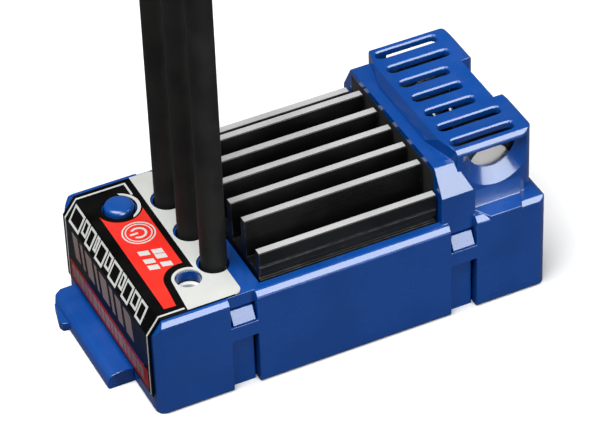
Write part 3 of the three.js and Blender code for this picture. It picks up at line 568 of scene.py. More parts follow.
ALUMINIUM = Finish(
    "capacitor can", "can_aluminium",
    tone=(0.88, 0.86, 0.8), second=(0.93, 0.91, 0.86), roughness=0.34, metallic=0.15,
)
SLEEVE = Finish(
    "black capacitor sleeve", "capacitor_sleeve",
    tone=(0.01, 0.01, 0.013), second=(0.016, 0.016, 0.02), roughness=0.3, grain_depth=0.05,
)
PAD = Finish(
    "thermal pad", "thermal_pad",
    tone=(0.24, 0.28, 0.34), second=(0.3, 0.34, 0.4), roughness=0.8, grain_depth=0.4,
)
GOLD = Finish(
    "gold plate", "gold_plate",
    tone=(0.83, 0.56, 0.17), second=(0.9, 0.64, 0.24), roughness=0.18, metallic=1.0,
    worn=(0.6, 0.5, 0.3), wear=0.3,
)
SOLDER = Finish(
    "solder", "solder",
    tone=(0.5, 0.51, 0.53), second=(0.66, 0.67, 0.69), roughness=0.22, metallic=1.0,
    cloud_scale=600, grain_scale=1200, grain_depth=0.4,
)
SWITCH = Finish(
    "switch plastic", "switch_plastic",
    tone=(0.6, 0.56, 0.46), second=(0.68, 0.64, 0.54), roughness=0.45,
)
SHRINK = Finish(
    "blue shrink tube", "shrink_tube",
    tone=(0.006, 0.02, 0.2), second=(0.01, 0.032, 0.28), roughness=0.36,
    grain_scale=1500, grain_depth=0.2,
)


# ---------------------------------------------------------------- mesh helpers
NODE_SHARP = math.radians(32)
COPY_SHARP = math.radians(16)
TURNED_SHARP = math.radians(40)
SOFTENED_FROM = math.radians(28)
SAME_PLANE = math.radians(1)
WELD = 0.002
INK_WELD = 0.0005
AXIS_RADIUS = 1e-6
FILLET_SHARE = 0.45


def dress_node(node: str, finish: Finish) -> None:
    """Give a CAD node that stays in view its finish and smooth shading.

    Args:
        node: Name of the CAD node.
        finish: The finish it gets.
    """
    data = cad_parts[node].data
    data.materials.clear()
    data.materials.append(finish.material())
    data.shade_smooth()
    data.set_sharp_from_angle(angle=NODE_SHARP)
    LOG.info("dressed %s in %s", node, finish.name)


def new_piece(
    name: str, data: bpy.types.ID, finish: Finish, body: str = "case"
) -> bpy.types.Object:
    """Put a mesh or curve in the scene as a piece of the object.

    Args:
        name: Name of the piece.
        data: Its mesh or curve.
        finish: The finish it gets.
        body: The CAD body it rides on.

    Returns:
        The new object.
    """
    data.materials.append(finish.material())
    piece = bpy.data.objects.new(name, data)
    bpy.context.scene.collection.objects.link(piece)
    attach(piece, body)
    LOG.info("built %s in %s", name, finish.name)
    return piece


def refined_copy(node: str, finish: Finish, edge: float, steps: int = 2) -> bpy.types.Object:
    """Stand in for a CAD node with its own shape, its flat faces whole and its edges softened.

    Args:
        node: Name of the CAD node.
        finish: The finish it gets.
        edge: Width of the softened edges in millimetres.
        steps: Number of facets across a softened edge.

    Returns:
        The new object.
    """
    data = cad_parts[node].data.copy()
    data.name = f"{node}_refined"
    data.materials.clear()
    mesh = bmesh.new()
    mesh.from_mesh(data)
    bmesh.ops.remove_doubles(mesh, verts=mesh.verts, dist=WELD * MM)
    bmesh.ops.dissolve_limit(mesh, angle_limit=SAME_PLANE, verts=mesh.verts, edges=mesh.edges)
    mesh.to_mesh(data)
    mesh.free()
    piece = new_piece(f"{node}_piece", data, finish)
    bevel = piece.modifiers.new("softened edges", "BEVEL")
    bevel.width = edge * MM
    bevel.segments = steps
    bevel.limit_method = "ANGLE"
    bevel.angle_limit = SOFTENED_FROM
    bevel.use_clamp_overlap = False
    data.shade_smooth()
    data.set_sharp_from_angle(angle=COPY_SHARP)
    normals = piece.modifiers.new("even shading", "WEIGHTED_NORMAL")
    normals.keep_sharp = True
    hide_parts(node)
    return piece


def filleted(profile: list[Pair], radius: float, steps: int = 4) -> list[Pair]:
    """Round the inner corners of an open profile.

    Args:
        profile: Its points.
        radius: Longest distance from a corner to the start of its rounding.
        steps: Number of facets in each rounding.

    Returns:
        The rounded profile's points.
    """
    points = [Vector(p) for p in profile]
    rounded = [points[0]]
    for before, corner, after in zip(points, points[1:], points[2:]):
        start, end = (
            corner + (way - corner).normalized() * min(radius, (way - corner).length * FILLET_SHARE)
            for way in (before, after)
        )
        for step in range(steps + 1):
            t = step / steps
            rounded.append(start * (1 - t) ** 2 + corner * (2 * t * (1 - t)) + end * t**2)
    rounded.append(points[-1])
    return [(p.x, p.y) for p in rounded]


def turned_mesh(name: str, profile: list[Pair], segments: int) -> bpy.types.Mesh:
    """Turn a profile of (radius, height) round the Z axis into a closed skin.

    Args:
        name: Name of the mesh.
        profile: Points in millimetres, from axis to axis, or a loop that ends at its first point.
        segments: Number of facets round the axis.

    Returns:
        The mesh, in metres.
    """
    mesh = bmesh.new()
    rings = []
    is_loop = profile[0] == profile[-1]
    for radius, height in profile[:-1] if is_loop else profile:
        count = 1 if radius < AXIS_RADIUS else segments
        rings.append([
            mesh.verts.new((
                radius * MM * math.cos(math.tau * k / segments),
                radius * MM * math.sin(math.tau * k / segments),
                height * MM,
            ))
            for k in range(count)
        ])
    if is_loop:
        rings.append(rings[0])
    for low, high in zip(rings, rings[1:]):
        for k in range(segments):
            after = k + 1
            corners = [
                low[k % len(low)], low[after % len(low)],
                high[after % len(high)], high[k % len(high)],
            ]
            corners = list(dict.fromkeys(corners))
            if len(corners) > 2:
                mesh.faces.new(corners)
    bmesh.ops.recalc_face_normals(mesh, faces=mesh.faces)
    data = bpy.data.meshes.new(name)
    mesh.to_mesh(data)
    mesh.free()
    data.shade_smooth()
    data.set_sharp_from_angle(angle=TURNED_SHARP)
    return data


def turned_piece(
    node: str,
    profile: list[Pair],
    placing: Matrix,
    finish: Finish,
    body: str = "case",
    segments: int = 64,
) -> bpy.types.Object:
    """Make a turned piece that stands for a CAD node.

    Args:
        node: Name of the CAD node.
        profile: Its profile of (radius, height) in millimetres.
        placing: Matrix in metres that moves it from the Z axis to its place.
        finish: The finish it gets.
        body: The CAD body it rides on.
        segments: Number of facets round its axis.

    Returns:
        The new object.
    """
    data = turned_mesh(f"{node}_skin", profile, segments)
    data.transform(placing)
    piece = new_piece(f"{node}_piece", data, finish, body)
    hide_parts(node)
    return piece


def upright(place: Pair) -> Matrix:
    """Give the matrix in metres that moves a turned skin to an upright axis at (x, y)."""
    return Matrix.Translation((place[0] * MM, place[1] * MM, 0))


def arc(centre: Pair, radius: float, start: float, end: float, steps: int = 24) -> list[Pair]:
    """Give the points of an arc.

    Args:
        centre: Its centre.
        radius: Its radius.
        start: Angle of its first point in degrees.
        end: Angle of its last point in degrees.
        steps: Number of facets.

    Returns:
        Its points.
    """
    angles = [math.radians(start + (end - start) * k / steps) for k in range(steps + 1)]
    return [(centre[0] + radius * math.cos(a), centre[1] + radius * math.sin(a)) for a in angles]


def circle(centre: Pair, radius: float, facets: int) -> list[Pair]:
    """Give the points of a whole circle, each once.

    Args:
        centre: Its centre.
        radius: Its radius.
        facets: Number of facets and of points.

    Returns:
        Its points.
    """
    return arc(centre, radius, 0, 360 - 360 / facets, facets - 1)


def strip(start: float, end: float, low: float, high: float) -> list[Pair]:
    """Give a rectangle's outline from its ends along and its sides across."""
    return [(start, low), (end, low), (end, high), (start, high)]


def slanted(start: float, end: float, low: float, high: float, lean: float) -> list[Pair]:
    """Give the outline of a bar that leans towards +Y by lean at its start."""
    return [(start, low + lean), (end, low), (end, high), (start, high + lean)]


# ---------------------------------------------------------------- studio
@dataclass(frozen=True)
class SoftBox:
    """One soft light that faces the part. Its lengths are in metres and its power in watts."""

    name: str
    direction: Triple
    distance: float
    size: Pair
    power: float
    colour: Colour = (1.0, 1.0, 1.0)
    in_gloss: bool = True
    in_matt: bool = True

    def hang(self) -> None:
        """Put the light in the scene, on the given side of the part."""
        data = bpy.data.lights.new(self.name, "AREA")
        data.shape = "RECTANGLE"
        data.size, data.size_y = self.size
        data.energy = self.power
        data.color = self.colour
        light = bpy.data.objects.new(self.name, data)
        bpy.context.scene.collection.objects.link(light)
        away = Vector(self.direction).normalized()
        light.location = away * self.distance
        light.rotation_euler = (-away).to_track_quat("-Z", "Y").to_euler()
        light.visible_glossy = self.in_gloss
        light.visible_diffuse = self.in_matt


@dataclass
class Studio:
    """The camera, the pale floor and the soft lights."""

    azimuth: float = -24.487
    elevation: float = 39.417
    roll: float = -2.265
    distance: float = 444.05
    aim: Triple = (-0.536, 0.098, 12.0)
    lens: float = 197.8
    sensor: float = 36.0
    view_range: Pair = (0.01, 20.0)
    floor_size: float = 3.0
    floor_drop: float = 0.02
    floor_tones: tuple[Colour, Colour] = ((0.84, 0.84, 0.84), (0.87, 0.87, 0.87))
    floor_bounce: Colour = (0.1, 0.1, 0.11)
    floor_roughness: float = 0.9
    room_light: float = 0.1
    boxes: tuple[SoftBox, ...] = (
        SoftBox("front_fill", (0.32, -0.84, 0.42), 1.0, (0.22, 0.58), 5.0, in_gloss=False),
        SoftBox(
            "front_card", (0.28, -0.82, 0.52), 1.0, (1.3, 0.8), 33.0,
            colour=(0.96, 1.0, 0.92), in_matt=False,
        ),
        SoftBox("top_box", (-0.35, -0.1, 1.0), 1.1, (0.9, 0.9), 21.0),
    )

    def build(self) -> None:
        """Make the camera, the floor and the lights."""
        self._camera()
        self._floor()
        self._lights()

    def _camera(self) -> None:
        """Make the camera and look at the middle of the case."""
        turn, tilt = math.radians(self.azimuth), math.radians(self.elevation)
        level = math.cos(tilt)
        ahead = Vector((-math.sin(turn) * level, math.cos(turn) * level, -math.sin(tilt)))
        data = bpy.data.cameras.new("camera")
        data.lens = self.lens
        data.sensor_width = self.sensor
        data.clip_start, data.clip_end = self.view_range
        camera = bpy.data.objects.new("camera", data)
        bpy.context.scene.collection.objects.link(camera)
        camera.location = (Vector(self.aim) - ahead * self.distance) * MM
        upright_view = ahead.to_track_quat("-Z", "Y").to_matrix().to_4x4()
        spin = Matrix.Rotation(math.radians(self.roll), 4, "Z")
        camera.rotation_euler = (upright_view @ spin).to_euler()
        bpy.context.scene.camera = camera

    def _floor(self) -> None:
        """Lay the pale floor just under the base."""
        mesh = bmesh.new()
        bmesh.ops.create_grid(mesh, x_segments=2, y_segments=2, size=self.floor_size)
        data = bpy.data.meshes.new("floor")
        mesh.to_mesh(data)
        mesh.free()
        floor = bpy.data.objects.new("floor", data)
        floor.location.z = -self.floor_drop * MM
        bpy.context.scene.collection.objects.link(floor)
        data.materials.append(self._floor_material())

    def _floor_material(self) -> bpy.types.Material:
        """Make the floor's matt finish, which sends little light back up to the part.

        Returns:
            The material.
        """
        material = bpy.data.materials.new("pale floor")
        material.use_nodes = True
        nodes = Nodes(material.node_tree)
        shader = material.node_tree.nodes["Principled BSDF"]
        shader.inputs["Specular IOR Level"].default_value = 0.0
        seen = nodes.blend(nodes.noise(8.0, detail=2), *self.floor_tones)
        rays = nodes.add("ShaderNodeLightPath")
        tone = nodes.blend(rays.outputs["Is Camera Ray"], self.floor_bounce, seen)
        nodes.feed(shader.inputs["Base Color"], tone)
        shader.inputs["Roughness"].default_value = self.floor_roughness
        return material

    def _lights(self) -> None:
        """Hang the soft boxes and set the even light of the room."""
        world = bpy.data.worlds.new("room")
        world.use_nodes = True
        background = world.node_tree.nodes["Background"]
        background.inputs["Color"].default_value = (1.0, 1.0, 1.0, 1.0)
        background.inputs["Strength"].default_value = self.room_light
        bpy.context.scene.world = world
        bpy.context.scene.view_settings.view_transform = "Standard"
        for box in self.boxes:
            box.hang()


# ---------------------------------------------------------------- motor leads
@dataclass
class MotorLeads:
    """The three leads that stand up from the deck, with their sockets and sleeves."""

    names: tuple[str, ...] = ("near", "middle", "far")
    diameter: float = 3.6
    bottom: float = 11.4
    top: float = 65.0
    route_points: int = 17
    roundness: int = 8
    neck_height: float = 4.0
    wall_on_socket: float = 0.2
    wall_on_lead: float = 0.7
    sleeve_ease: float = 0.12
    socket_bore: float = 1.75
    socket_floor: float = 2.5
    socket_groove: float = 0.15
    socket_ease: float = 0.1
    facets: int = 48

    def build(self) -> None:
        """Make each lead with what is on its far end."""
        for index, name in enumerate(self.names):
            y = (index - 1) * LEAD_PITCH
            ends = [self._sleeve(name, y), self._socket(name, y)]
            self._lead(name, y)
            dress_node(f"solder_joint_{name}", SOLDER)
        dress_node("lead_seal", RUBBER)

    def _lead(self, name: str, y: float) -> None:
        """Args:
            name: Which lead.
            y: Its place across the case.
        """
        data = bpy.data.curves.new(f"motor_lead_{name}_route", "CURVE")
        data.dimensions = "3D"
        data.bevel_depth = self.diameter / 2 * MM
        data.bevel_resolution = self.roundness
        data.use_fill_caps = True
        spline = data.splines.new("POLY")
        spline.points.add(self.route_points - 1)
        for index, point in enumerate(spline.points):
            height = self.bottom + (self.top - self.bottom) * index / (self.route_points - 1)
            point.co = (LEAD_X * MM, y * MM, height * MM, 1.0)
        lead = new_piece(f"motor_lead_{name}_piece", data, SILICONE)
        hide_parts(f"motor_lead_{name}")

    def _sleeve(self, name: str, y: float) -> bpy.types.Object:
        """Make one shrink sleeve, tight on the lead below and on the socket above.

        Args:
            name: Which lead.
            y: Its place across the case.

        Returns:
            The sleeve.
        """
        node = f"connector_sleeve_{name}"
        low, high = box_mm(node)
        wide = (high.x - low.x) / 2
        step = low.z + self.neck_height
        # Each point is how far in from the widest radius, and the height.
        outer = [
            (0.6, low.z), (0.5, low.z + 0.1), (0.52, step - 1.5), (0.46, step - 1.1),
            (0.5, step - 0.6), (0.3, step), (0.05, step + 1.3), (0, step + 1.9),
            (0.02, high.z - 1.2), (0, high.z - 0.9), (0.03, high.z - 0.1), (0.1, high.z),
        ]
        inner = [
            (self.wall_on_socket, high.z), (self.wall_on_socket, step + 1.6),
            (self.wall_on_lead, step), (self.wall_on_lead, low.z),
        ]
        skin = [(wide - inset, height) for inset, height in (*outer, *inner, outer[0])]
        profile = filleted(skin, self.sleeve_ease, 3)
        return turned_piece(node, profile, upright((LEAD_X, y)), SHRINK, segments=self.facets)

    def _socket(self, name: str, y: float) -> bpy.types.Object:
        """Make one bullet socket, with a lead-in and a turned groove.

        Args:
            name: Which lead.
            y: Its place across the case.

        Returns:
            The socket.
        """
        node = f"bullet_socket_{name}"
        low, high = box_mm(node)
        wide = (high.x - low.x) / 2
        groove = wide - self.socket_groove
        bore = self.socket_bore
        floor = low.z + self.socket_floor
        profile = filleted([
            (0, low.z), (wide, low.z), (wide, high.z - 2.4), (groove, high.z - 2.3),
            (groove, high.z - 1.9), (wide, high.z - 1.8), (wide, high.z - 0.25),
            (wide - 0.2, high.z), (bore + 0.25, high.z), (bore, high.z - 0.35), (bore, floor),
            (0, floor - 0.4),
        ], self.socket_ease, 3)
        return turned_piece(node, profile, upright((LEAD_X, y)), GOLD, segments=self.facets)


# ---------------------------------------------------------------- case
@dataclass
class Case:
    """The blue housing and base plate, with their seal and the rear grommets."""

    edge: float = 0.07
    grommets: tuple[str, ...] = (
        "battery_grommet_near", "battery_grommet_far", "receiver_grommet",
    )
    grommet_wall: float = 0.5
    flange_width: float = 0.5
    flange_thickness: float = 0.65
    grommet_ease: float = 0.12
    facets: int = 48

    def build(self) -> None:
        """Make the shells and dress what seals them."""
        refined_copy("housing", BLUE_PLASTIC, self.edge)
        refined_copy("base_plate", BLUE_PLASTIC, self.edge)
        dress_node("base_seal", RUBBER)
        for name in self.grommets:
            self._grommet(name)

    def _grommet(self, name: str) -> None:
        """Make one rear grommet as a smooth rolled lip in its hole.

        Args:
            name: Name of the CAD node it stands for.
        """
        low, high = box_mm(name)
        flange = (high.z - low.z) / 2
        neck = flange - self.flange_width
        bore = neck - self.grommet_wall
        step = low.x + self.flange_thickness
        profile = filleted([
            (bore, low.x), (flange, low.x), (flange, step), (neck, step), (neck, high.x - 0.2),
            (neck - 0.15, high.x), (bore + 0.05, high.x), (bore, high.x - 0.1), (bore, low.x),
        ], self.grommet_ease, 3)
        middle = (low + high) / 2
        moved = Matrix.Translation((0, middle.y * MM, middle.z * MM))
        placing = moved @ Matrix.Rotation(math.pi / 2, 4, "Y")
        turned_piece(name, profile, placing, RUBBER, segments=self.facets)


# ---------------------------------------------------------------- heat sink
@dataclass
class HeatSink:
    """The black finned block with its bright machined fin tops."""

    edge: float = 0.05
    screws: int = 4
    lowest_top: float = 19.5
    level_normal: float = 0.95

    def build(self) -> None:
        """Make the block and dress what holds it."""
        block = refined_copy("heat_sink", BLACK_ANODISED, self.edge)
        block.data.materials.append(FIN_EDGE.material())
        for face in block.data.polygons:
            is_high = face.center.z / MM > self.lowest_top
            face.material_index = int(is_high and face.normal.z > self.level_normal)
        for index in range(self.screws):
            dress_node(f"heat_sink_screw_{index + 1}", STEEL)
        # A black rubber pad fills the dark gap between the fin ends and the case lip.
        dress_node("fin_end_pad", RUBBER)


# ---------------------------------------------------------------- label
class Side(Enum):
    """The three faces of the case that the label covers."""

    DECK = "deck"
    BEND = "bend"
    END = "end"


@dataclass(frozen=True)
class BarRow:
    """A row of plain slanted bars, side by side from +Y to -Y."""

    name: str
    side: Side
    ends: Pair
    first: float
    widths: tuple[float, ...]
    gap: float
    lean: float
    layer: int = 1

    def outlines(self) -> list[list[Pair]]:
        """Give the outline of each bar in turn.

        Returns:
            The outlines.
        """
        found = []
        y = self.first
        for width in self.widths:
            found.append(slanted(*self.ends, y - width, y, self.lean))
            y -= width + self.gap
        return found


@dataclass
class Label:
    """The printed film round the front end. Places on it are (x, y) on the deck, as the case's own.

    On the bend and the end face a place is how far up that face, and y.
    """

    edge: float = 0.05
    print_height: float = 0.02
    near: float = -14.5
    far: float = 14.0
    bend_top: float = -27.51
    bend_drop: float = 2.5
    hole_facets: int = 45
    ring_facets: int = 60
    # White zone round the leads and the status light.
    white_start: float = -19.4
    white_near_end: float = -23.55
    corner: float = 1.1
    rear_margin: float = 0.01
    lead_hole: float = 2.35
    led_hole: float = 1.82
    led_ring: float = 0.4
    rim_width: float = 0.2
    steepest_side: float = 0.5
    # Red panel between the button and the status light.
    red_front: float = -26.22
    red_rear: float = -20.3
    red_from_button: float = 3.2
    red_from_led: float = 3.25
    red_near_corners: tuple[Pair, Pair] = ((-24.54, -13.02), (-26.22, -12.93))
    # Painted glint: a white crescent beside the button, on its +X side.
    painted_glint_outer: float = 2.95
    painted_glint_inner: float = 2.72
    painted_glint_shift: float = 0.25
    # Fine lines along both sides.
    line: float = 0.3
    near_line_inset: float = 0.35
    far_line_inset: float = 0.7
    near_line_end: float = -23.8
    line_foot: float = 0.1
    hook_start: float = -20.3
    hook_length: float = 2.8
    # Power symbol in its rings.
    symbol: Pair = (-22.9, 2.7)
    rings: tuple[Pair, ...] = ((2.3, 2.1), (1.85, 1.68))
    open_ring: Pair = (1.15, 0.82)
    stem: Pair = (1.25, 0.1)
    stem_half_width: float = 0.17
    # Bars that stand where a maker would put words.
    panel_rows: tuple[tuple[Pair, Triple], ...] = (
        ((-24.7, -23.3), (-1.2, -3.0, -4.4)),
        ((-22.9, -21.5), (-1.6, -2.7, -4.5)),
    )
    panel_bar_width: float = 0.95
    panel_bar_lean: float = 0.35
    outlined_widths: tuple[float, ...] = (3.3, 1.5, 1.9, 0.9, 2.4, 1.5, 2.6, 1.2, 2.2, 1.8, 2.0)
    outlined_first: float = 12.6
    outlined_gap: float = 0.26
    outlined_step: float = 0.55
    outlined_outer: Triple = (0.15, 2.72, -0.5)
    outlined_inner: Triple = (0.5, 2.37, -0.4)
    outlined_wall: float = 0.36
    brown_bars: BarRow = BarRow(
        "label_brown_bars", Side.END, ends=(8.4, 12.3), first=11.0,
        widths=(1.8, 0.8, 2.2, 0.8, 2.4, 1.0, 1.8, 2.4), gap=0.9, lean=-0.8,
    )
    band_marks: BarRow = BarRow(
        "label_band_marks", Side.END, ends=(4.0, 5.9), first=12.0,
        widths=tuple(0.75 + 0.35 * (index % 3) for index in range(17)), gap=0.34, lean=-0.3,
        layer=2,
    )
    band_foot: float = 0.45
    band_top: float = 6.6
    band_insets: Pair = (1.1, 1.5)
    low: Vector = field(init=False)
    high: Vector = field(init=False)
    bend_low: float = field(init=False)
    inks: list[bpy.types.Object] = field(default_factory=list)

    def __post_init__(self) -> None:
        """Find the film's corners and where it bends."""
        self.low, self.high = box_mm("wrap_label")
        self.bend_low = self.high.z - self.bend_drop

    def build(self) -> None:
        """Make the film and print its zones, lines and marks."""
        film = refined_copy("wrap_label", LABEL_BLACK, self.edge)
        film.data.materials.append(LABEL_WHITE.material())
        for face in film.data.polygons:
            x, y = face.center.x / MM, face.center.y / MM
            from_led = math.dist((x, y), LED_AXIS)
            is_white = x > self.white_start or from_led < self.led_hole + self.rim_width
            face.material_index = int(is_white and abs(face.normal.z) < self.steepest_side)
        self._white_zone()
        self._red_panel()
        # Painted glint beside the button, in white ink.
        self._painted_glint()
        self._borders()
        self._symbol()
        self._panel_bars()
        self._outlined_bars()
        self._end_marks()
        for ink in self.inks:
            ink.parent = film

    def _placing(self, side: Side) -> Matrix:
        """Give the matrix that lays a flat print on one face of the film.

        Args:
            side: Which face.

        Returns:
            A matrix in millimetres from (along, across, up) on that face to the case's frame.
        """
        if side is Side.DECK:
            return Matrix.Translation((0, 0, self.high.z))
        if side is Side.BEND:
            run = Vector((self.bend_top - self.low.x, 0, self.high.z - self.bend_low)).normalized()
            origin = Vector((self.low.x, 0, self.bend_low))
        else:
            run = Vector((0, 0, 1))
            origin = Vector((self.low.x, 0, 0))
        across = Vector((0, 1, 0))
        up = run.cross(across)
        turn = Matrix((run, across, up)).transposed().to_4x4()
        return Matrix.Translation(origin) @ turn

    def _ink(
        self, name: str, side: Side, finish: Finish, outlines: list[list[Pair]], layer: int = 1
    ) -> None:
        """Print one ink as a very thin solid.

        Args:
            name: Name of the piece.
            side: Which face it is on.
            finish: Its colour.
            outlines: Outlines that it fills, where an outline inside another is a hole.
            layer: How many layers of ink high it is.
        """
        half = self.print_height * layer / 2
        curve = bpy.data.curves.new(f"{name}_outline", "CURVE")
        curve.dimensions = "2D"
        curve.fill_mode = "BOTH"
        curve.extrude = half
        for outline in outlines:
            spline = curve.splines.new("POLY")
            spline.points.add(len(outline) - 1)
            spline.use_cyclic_u = True
            for point, (along, across) in zip(spline.points, outline):
                point.co = (along, across, 0.0, 1.0)
        holder = bpy.data.objects.new(f"{name}_outline", curve)
        data = bpy.data.meshes.new_from_object(holder)
        bpy.data.objects.remove(holder)
        bpy.data.curves.remove(curve)
        data.transform(Matrix.Translation((0, 0, half)))
        data.transform(Matrix.Scale(MM, 4) @ self._placing(side))
        mesh = bmesh.new()
        mesh.from_mesh(data)
        bmesh.ops.remove_doubles(mesh, verts=mesh.verts, dist=INK_WELD * MM)
        bmesh.ops.recalc_face_normals(mesh, faces=mesh.faces)
        mesh.to_mesh(data)
        mesh.free()
        data.materials.clear()
        self.inks.append(new_piece(name, data, finish))

    def _white_zone(self) -> None:
        """Print the white zone, with a ring round the status light's hole."""
        ring = self.led_hole + self.led_ring
        first = math.degrees(math.acos((self.white_start - LED_AXIS[0]) / ring))
        rear, c = self.high.x, self.corner
        edge = [
            (self.white_start, self.far),
            (self.white_start, LED_AXIS[1] + ring * math.sin(math.radians(first))),
            *arc(LED_AXIS, ring, first, 176),
            (self.white_near_end, self.near),
            *arc((rear - c, self.near + c), c, -90, 0, 6),
            *arc((rear - c, self.far - c), c, 0, 90, 6),
        ]
        clear = rear - self.rear_margin
        holes = []
        for index in (-1, 0, 1):
            hole = circle((LEAD_X, index * LEAD_PITCH), self.lead_hole, self.hole_facets)
            holes.append([(min(x, clear), y) for x, y in hole])
        holes.append(circle(LED_AXIS, self.led_hole, self.hole_facets))
        self._ink("label_white_zone", Side.DECK, LABEL_WHITE, [edge, *holes])

    def _red_panel(self) -> None:
        """Print the red panel, cut round the button and the status light."""
        clear, led_clear = self.red_from_button, self.red_from_led
        left = math.degrees(math.acos((self.red_front - BUTTON_AXIS[0]) / clear))
        right = math.degrees(math.acos((self.red_rear - BUTTON_AXIS[0]) / clear))
        led_right = math.degrees(math.acos((self.red_rear - LED_AXIS[0]) / led_clear))
        panel = [
            *arc(BUTTON_AXIS, clear, -left, -right),
            *arc(LED_AXIS, led_clear, led_right, 175),
            *self.red_near_corners,
        ]
        self._ink("label_red_panel", Side.DECK, LABEL_RED, [panel])

    def _painted_glint(self) -> None:
        """Print a painted glint: a white crescent in white ink beside the button, on its +X side.
        """
        shifted = (BUTTON_AXIS[0] - self.painted_glint_shift, BUTTON_AXIS[1])
        crescent = [
            *arc(BUTTON_AXIS, self.painted_glint_outer, -72, 72),
            *arc(shifted, self.painted_glint_inner, 60, -60),
        ]
        self._ink("label_button_painted_glint", Side.DECK, LABEL_WHITE, [crescent])

    def _borders(self) -> None:
        """Print the fine white line along both edges and down the front end."""
        w = self.line
        bend, hook = self.bend_top, self.hook_start
        near, far = self.near + self.near_line_inset, self.far - self.far_line_inset
        length = math.hypot(self.bend_top - self.low.x, self.high.z - self.bend_low)
        near_line = strip(bend, self.near_line_end, near, near + w)
        far_line = [
            (bend, far - w), (hook - w, far - w), (hook - w, far - self.hook_length),
            (hook, far - self.hook_length), (hook, far), (bend, far),
        ]
        self._ink("label_line_near_deck", Side.DECK, LABEL_WHITE, [near_line])
        self._ink("label_line_far_deck", Side.DECK, LABEL_WHITE, [far_line])
        for name, y in (("near", near), ("far", far - w)):
            on_bend = strip(0, length, y, y + w)
            on_end = strip(self.low.z + self.line_foot, self.bend_low, y, y + w)
            self._ink(f"label_line_{name}_bend", Side.BEND, LABEL_WHITE, [on_bend])
            self._ink(f"label_line_{name}_end", Side.END, LABEL_WHITE, [on_end])

    def _symbol(self) -> None:
        """Print two plain rings with the usual open ring and bar inside them."""
        x, y = self.symbol
        for index, radii in enumerate(self.rings):
            outlines = [circle(self.symbol, radius, self.ring_facets) for radius in radii]
            self._ink(f"label_ring_{index + 1}", Side.DECK, LABEL_WHITE, outlines, layer=2)
        outer, inner = self.open_ring
        opened = [*arc(self.symbol, outer, -140, 140), *arc(self.symbol, inner, 132, -132)]
        self._ink("label_open_ring", Side.DECK, LABEL_WHITE, [opened], layer=2)
        half = self.stem_half_width
        bar = strip(x - self.stem[0], x - self.stem[1], y - half, y + half)
        self._ink("label_ring_bar", Side.DECK, LABEL_WHITE, [bar], layer=2)

    def _panel_bars(self) -> None:
        """Print the two short rows of bars on the red panel."""
        width, lean = self.panel_bar_width, self.panel_bar_lean
        for row, (ends, marks) in enumerate(self.panel_rows):
            outlines = [slanted(*ends, y - width, y, lean) for y in marks]
            self._ink(f"label_panel_bars_{row + 1}", Side.DECK, LABEL_WHITE, outlines, layer=2)

    def _outlined_bars(self) -> None:
        """Print the row of outlined bars on the bend, every other one shorter."""
        outlines = []
        start, end, lean = self.outlined_outer
        inner_start, inner_end, inner_lean = self.outlined_inner
        wall = self.outlined_wall
        y = self.outlined_first
        for index, width in enumerate(self.outlined_widths):
            drop = self.outlined_step * (index % 2)
            low = y - width
            outlines.append(slanted(start + drop, end, low, y, lean))
            outlines.append(
                slanted(inner_start + drop, inner_end, low + wall, y - wall, inner_lean)
            )
            y -= width + self.outlined_gap
        self._ink("label_outlined_bars", Side.BEND, LABEL_WHITE, outlines)

    def _end_marks(self) -> None:
        """Print the grey brown bars and the maroon band with its marks on the end face."""
        foot = self.low.z + self.band_foot
        low, high = self.near + self.band_insets[0], self.far - self.band_insets[1]
        band = strip(foot, self.band_top, low, high)
        self._row(self.brown_bars)
        self._ink("label_maroon_band", Side.END, LABEL_MAROON, [band])
        self._row(self.band_marks)

    def _row(self, row: BarRow) -> None:
        """Print one row of bars in grey brown."""
        self._ink(row.name, row.side, LABEL_BROWN, row.outlines(), row.layer)


# ---------------------------------------------------------------- deck controls
@dataclass
class Controls:
    """The power button with its switch, and the status light in its collar."""

    flange: float = 2.6
    flange_low: float = 0.4
    flange_high: float = 1.1
    barrel: float = 2.05
    plunger_seat: float = 0.9
    cap_ease: float = 0.14
    lens_base: float = 1.55
    lens_base_height: float = 0.5
    dome: float = 1.2
    dome_share: float = 0.6
    collar_outer: float = 2.0
    collar_inner: float = 1.35
    collar_bevel: float = 0.15
    collar_ease: float = 0.08

    def build(self) -> None:
        """Make the cap, the lens and the collar, and dress the switch."""
        self._cap()
        self._lens()
        self._collar()
        dress_node("switch_body", SWITCH)
        dress_node("switch_plunger", CHIP)

    def _cap(self) -> None:
        """Make the button cap, domed with a shallow finger dish."""
        low, high = box_mm("power_button")
        flange, barrel, seat = self.flange, self.barrel, self.plunger_seat
        foot, rim = low.z + self.flange_low, low.z + self.flange_high
        profile = filleted([
            (0, low.z), (seat, low.z), (seat, foot), (flange, foot), (flange, rim), (barrel, rim),
            (barrel, high.z - 0.5), (barrel - 0.15, high.z - 0.2), (barrel - 0.5, high.z - 0.03),
            (1.1, high.z), (0.7, high.z - 0.07), (0, high.z - 0.1),
        ], self.cap_ease)
        turned_piece("power_button", profile, upright(BUTTON_AXIS), BUTTON_PLASTIC, "button")

    def _lens(self) -> None:
        """Make the status light's domed lens."""
        low, high = box_mm("status_led")
        base, dome = self.lens_base, self.dome
        ledge = low.z + self.lens_base_height
        start = high.z - dome * self.dome_share
        angles = [math.radians(k * 9) for k in range(1, 10)]
        top = [(dome * math.cos(a), start + (high.z - start) * math.sin(a)) for a in angles]
        profile = [
            (0, low.z), (base, low.z), (base, ledge), (dome, ledge), (dome, start), *top,
            (0, high.z),
        ]
        turned_piece("status_led", profile, upright(LED_AXIS), LENS)

    def _collar(self) -> None:
        """Make the ring that holds the lens."""
        low, high = box_mm("led_collar")
        outer, inner, bevel = self.collar_outer, self.collar_inner, self.collar_bevel
        profile = filleted([
            (inner, low.z), (outer, low.z), (outer, high.z - bevel), (outer - bevel, high.z),
            (inner + bevel, high.z), (inner, high.z - bevel), (inner, low.z),
        ], self.collar_ease, 3)
        turned_piece("led_collar", profile, upright(LED_AXIS), COLLAR)


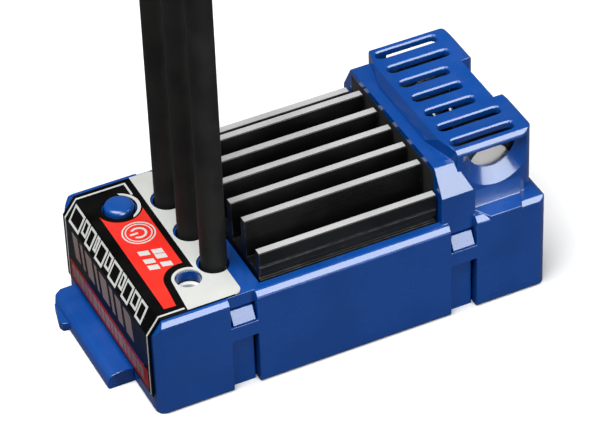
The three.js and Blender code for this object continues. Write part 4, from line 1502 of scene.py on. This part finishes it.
# ---------------------------------------------------------------- capacitors and boards
@dataclass
class Capacitors:
    """The two capacitors that lie in the vented tower."""

    names: tuple[str, ...] = ("near", "far")
    centre: Pair = (22.4, 19.9)
    wall: float = 0.2
    lip: float = 0.95
    shoulder: float = 0.5

    def build(self) -> None:
        """Make the sleeves and dress the cans, bungs and wires."""
        for name in self.names:
            self._sleeve(name)
            dress_node(f"capacitor_can_{name}", ALUMINIUM)
            dress_node(f"capacitor_bung_{name}", RUBBER)
            for sign in ("positive", "negative"):
                dress_node(f"capacitor_lead_{name}_{sign}", TINNED)

    def _sleeve(self, name: str) -> None:
        """Make one black sleeve, shrunk over the can's rounded end and open in the middle.

        Args:
            name: Which capacitor.
        """
        node = f"capacitor_sleeve_{name}"
        low, high = box_mm(node)
        radius = (high.z - low.z) / 2
        side = -1 if name == "near" else 1
        end = high.y if side > 0 else -low.y
        inner = low.y if side > 0 else -high.y
        wall, lip, shoulder = self.wall, self.lip, self.shoulder
        profile = [
            (radius - lip, end - wall), (radius - 0.45, end - wall), (radius - wall, end - 0.45),
            (radius - wall, inner), (radius, inner),
            *arc((radius - shoulder, end - shoulder), shoulder, 0, 90, 8),
            (radius - 0.85, end), (radius - lip, end - 0.08), (radius - lip, end - wall),
        ]
        moved = Matrix.Translation((self.centre[0] * MM, 0, self.centre[1] * MM))
        placing = moved @ Matrix.Rotation(-side * math.pi / 2, 4, "X")
        turned_piece(node, profile, placing, SLEEVE)


@dataclass
class Electronics:
    """The boards and parts inside, which keep their CAD shapes."""

    finishes: dict[str, Finish] = field(default_factory=lambda: {
        "power_board": BOARD,
        "control_board": BOARD,
        "board_header": CHIP,
        "microcontroller": CHIP,
        "voltage_regulator": CHIP,
        "thermal_pad": PAD,
    })
    transistors: int = 6
    drivers: int = 3

    def build(self) -> None:
        """Dress every board and part."""
        for node, finish in self.finishes.items():
            dress_node(node, finish)
        for index in range(self.transistors):
            dress_node(f"mosfet_{index + 1}", CHIP)
        for index in range(self.drivers):
            dress_node(f"gate_driver_{index + 1}", CHIP)


def main() -> None:
    """Build the studio and every sub-assembly."""
    logging.basicConfig(level=logging.INFO, format="%(name)s: %(message)s")
    kinds = (Studio, MotorLeads, Case, HeatSink, Label, Controls, Capacitors, Electronics)
    for kind in kinds:
        LOG.info("%s", kind.__name__)
        kind().build()


if __name__ == "__main__":
    main()
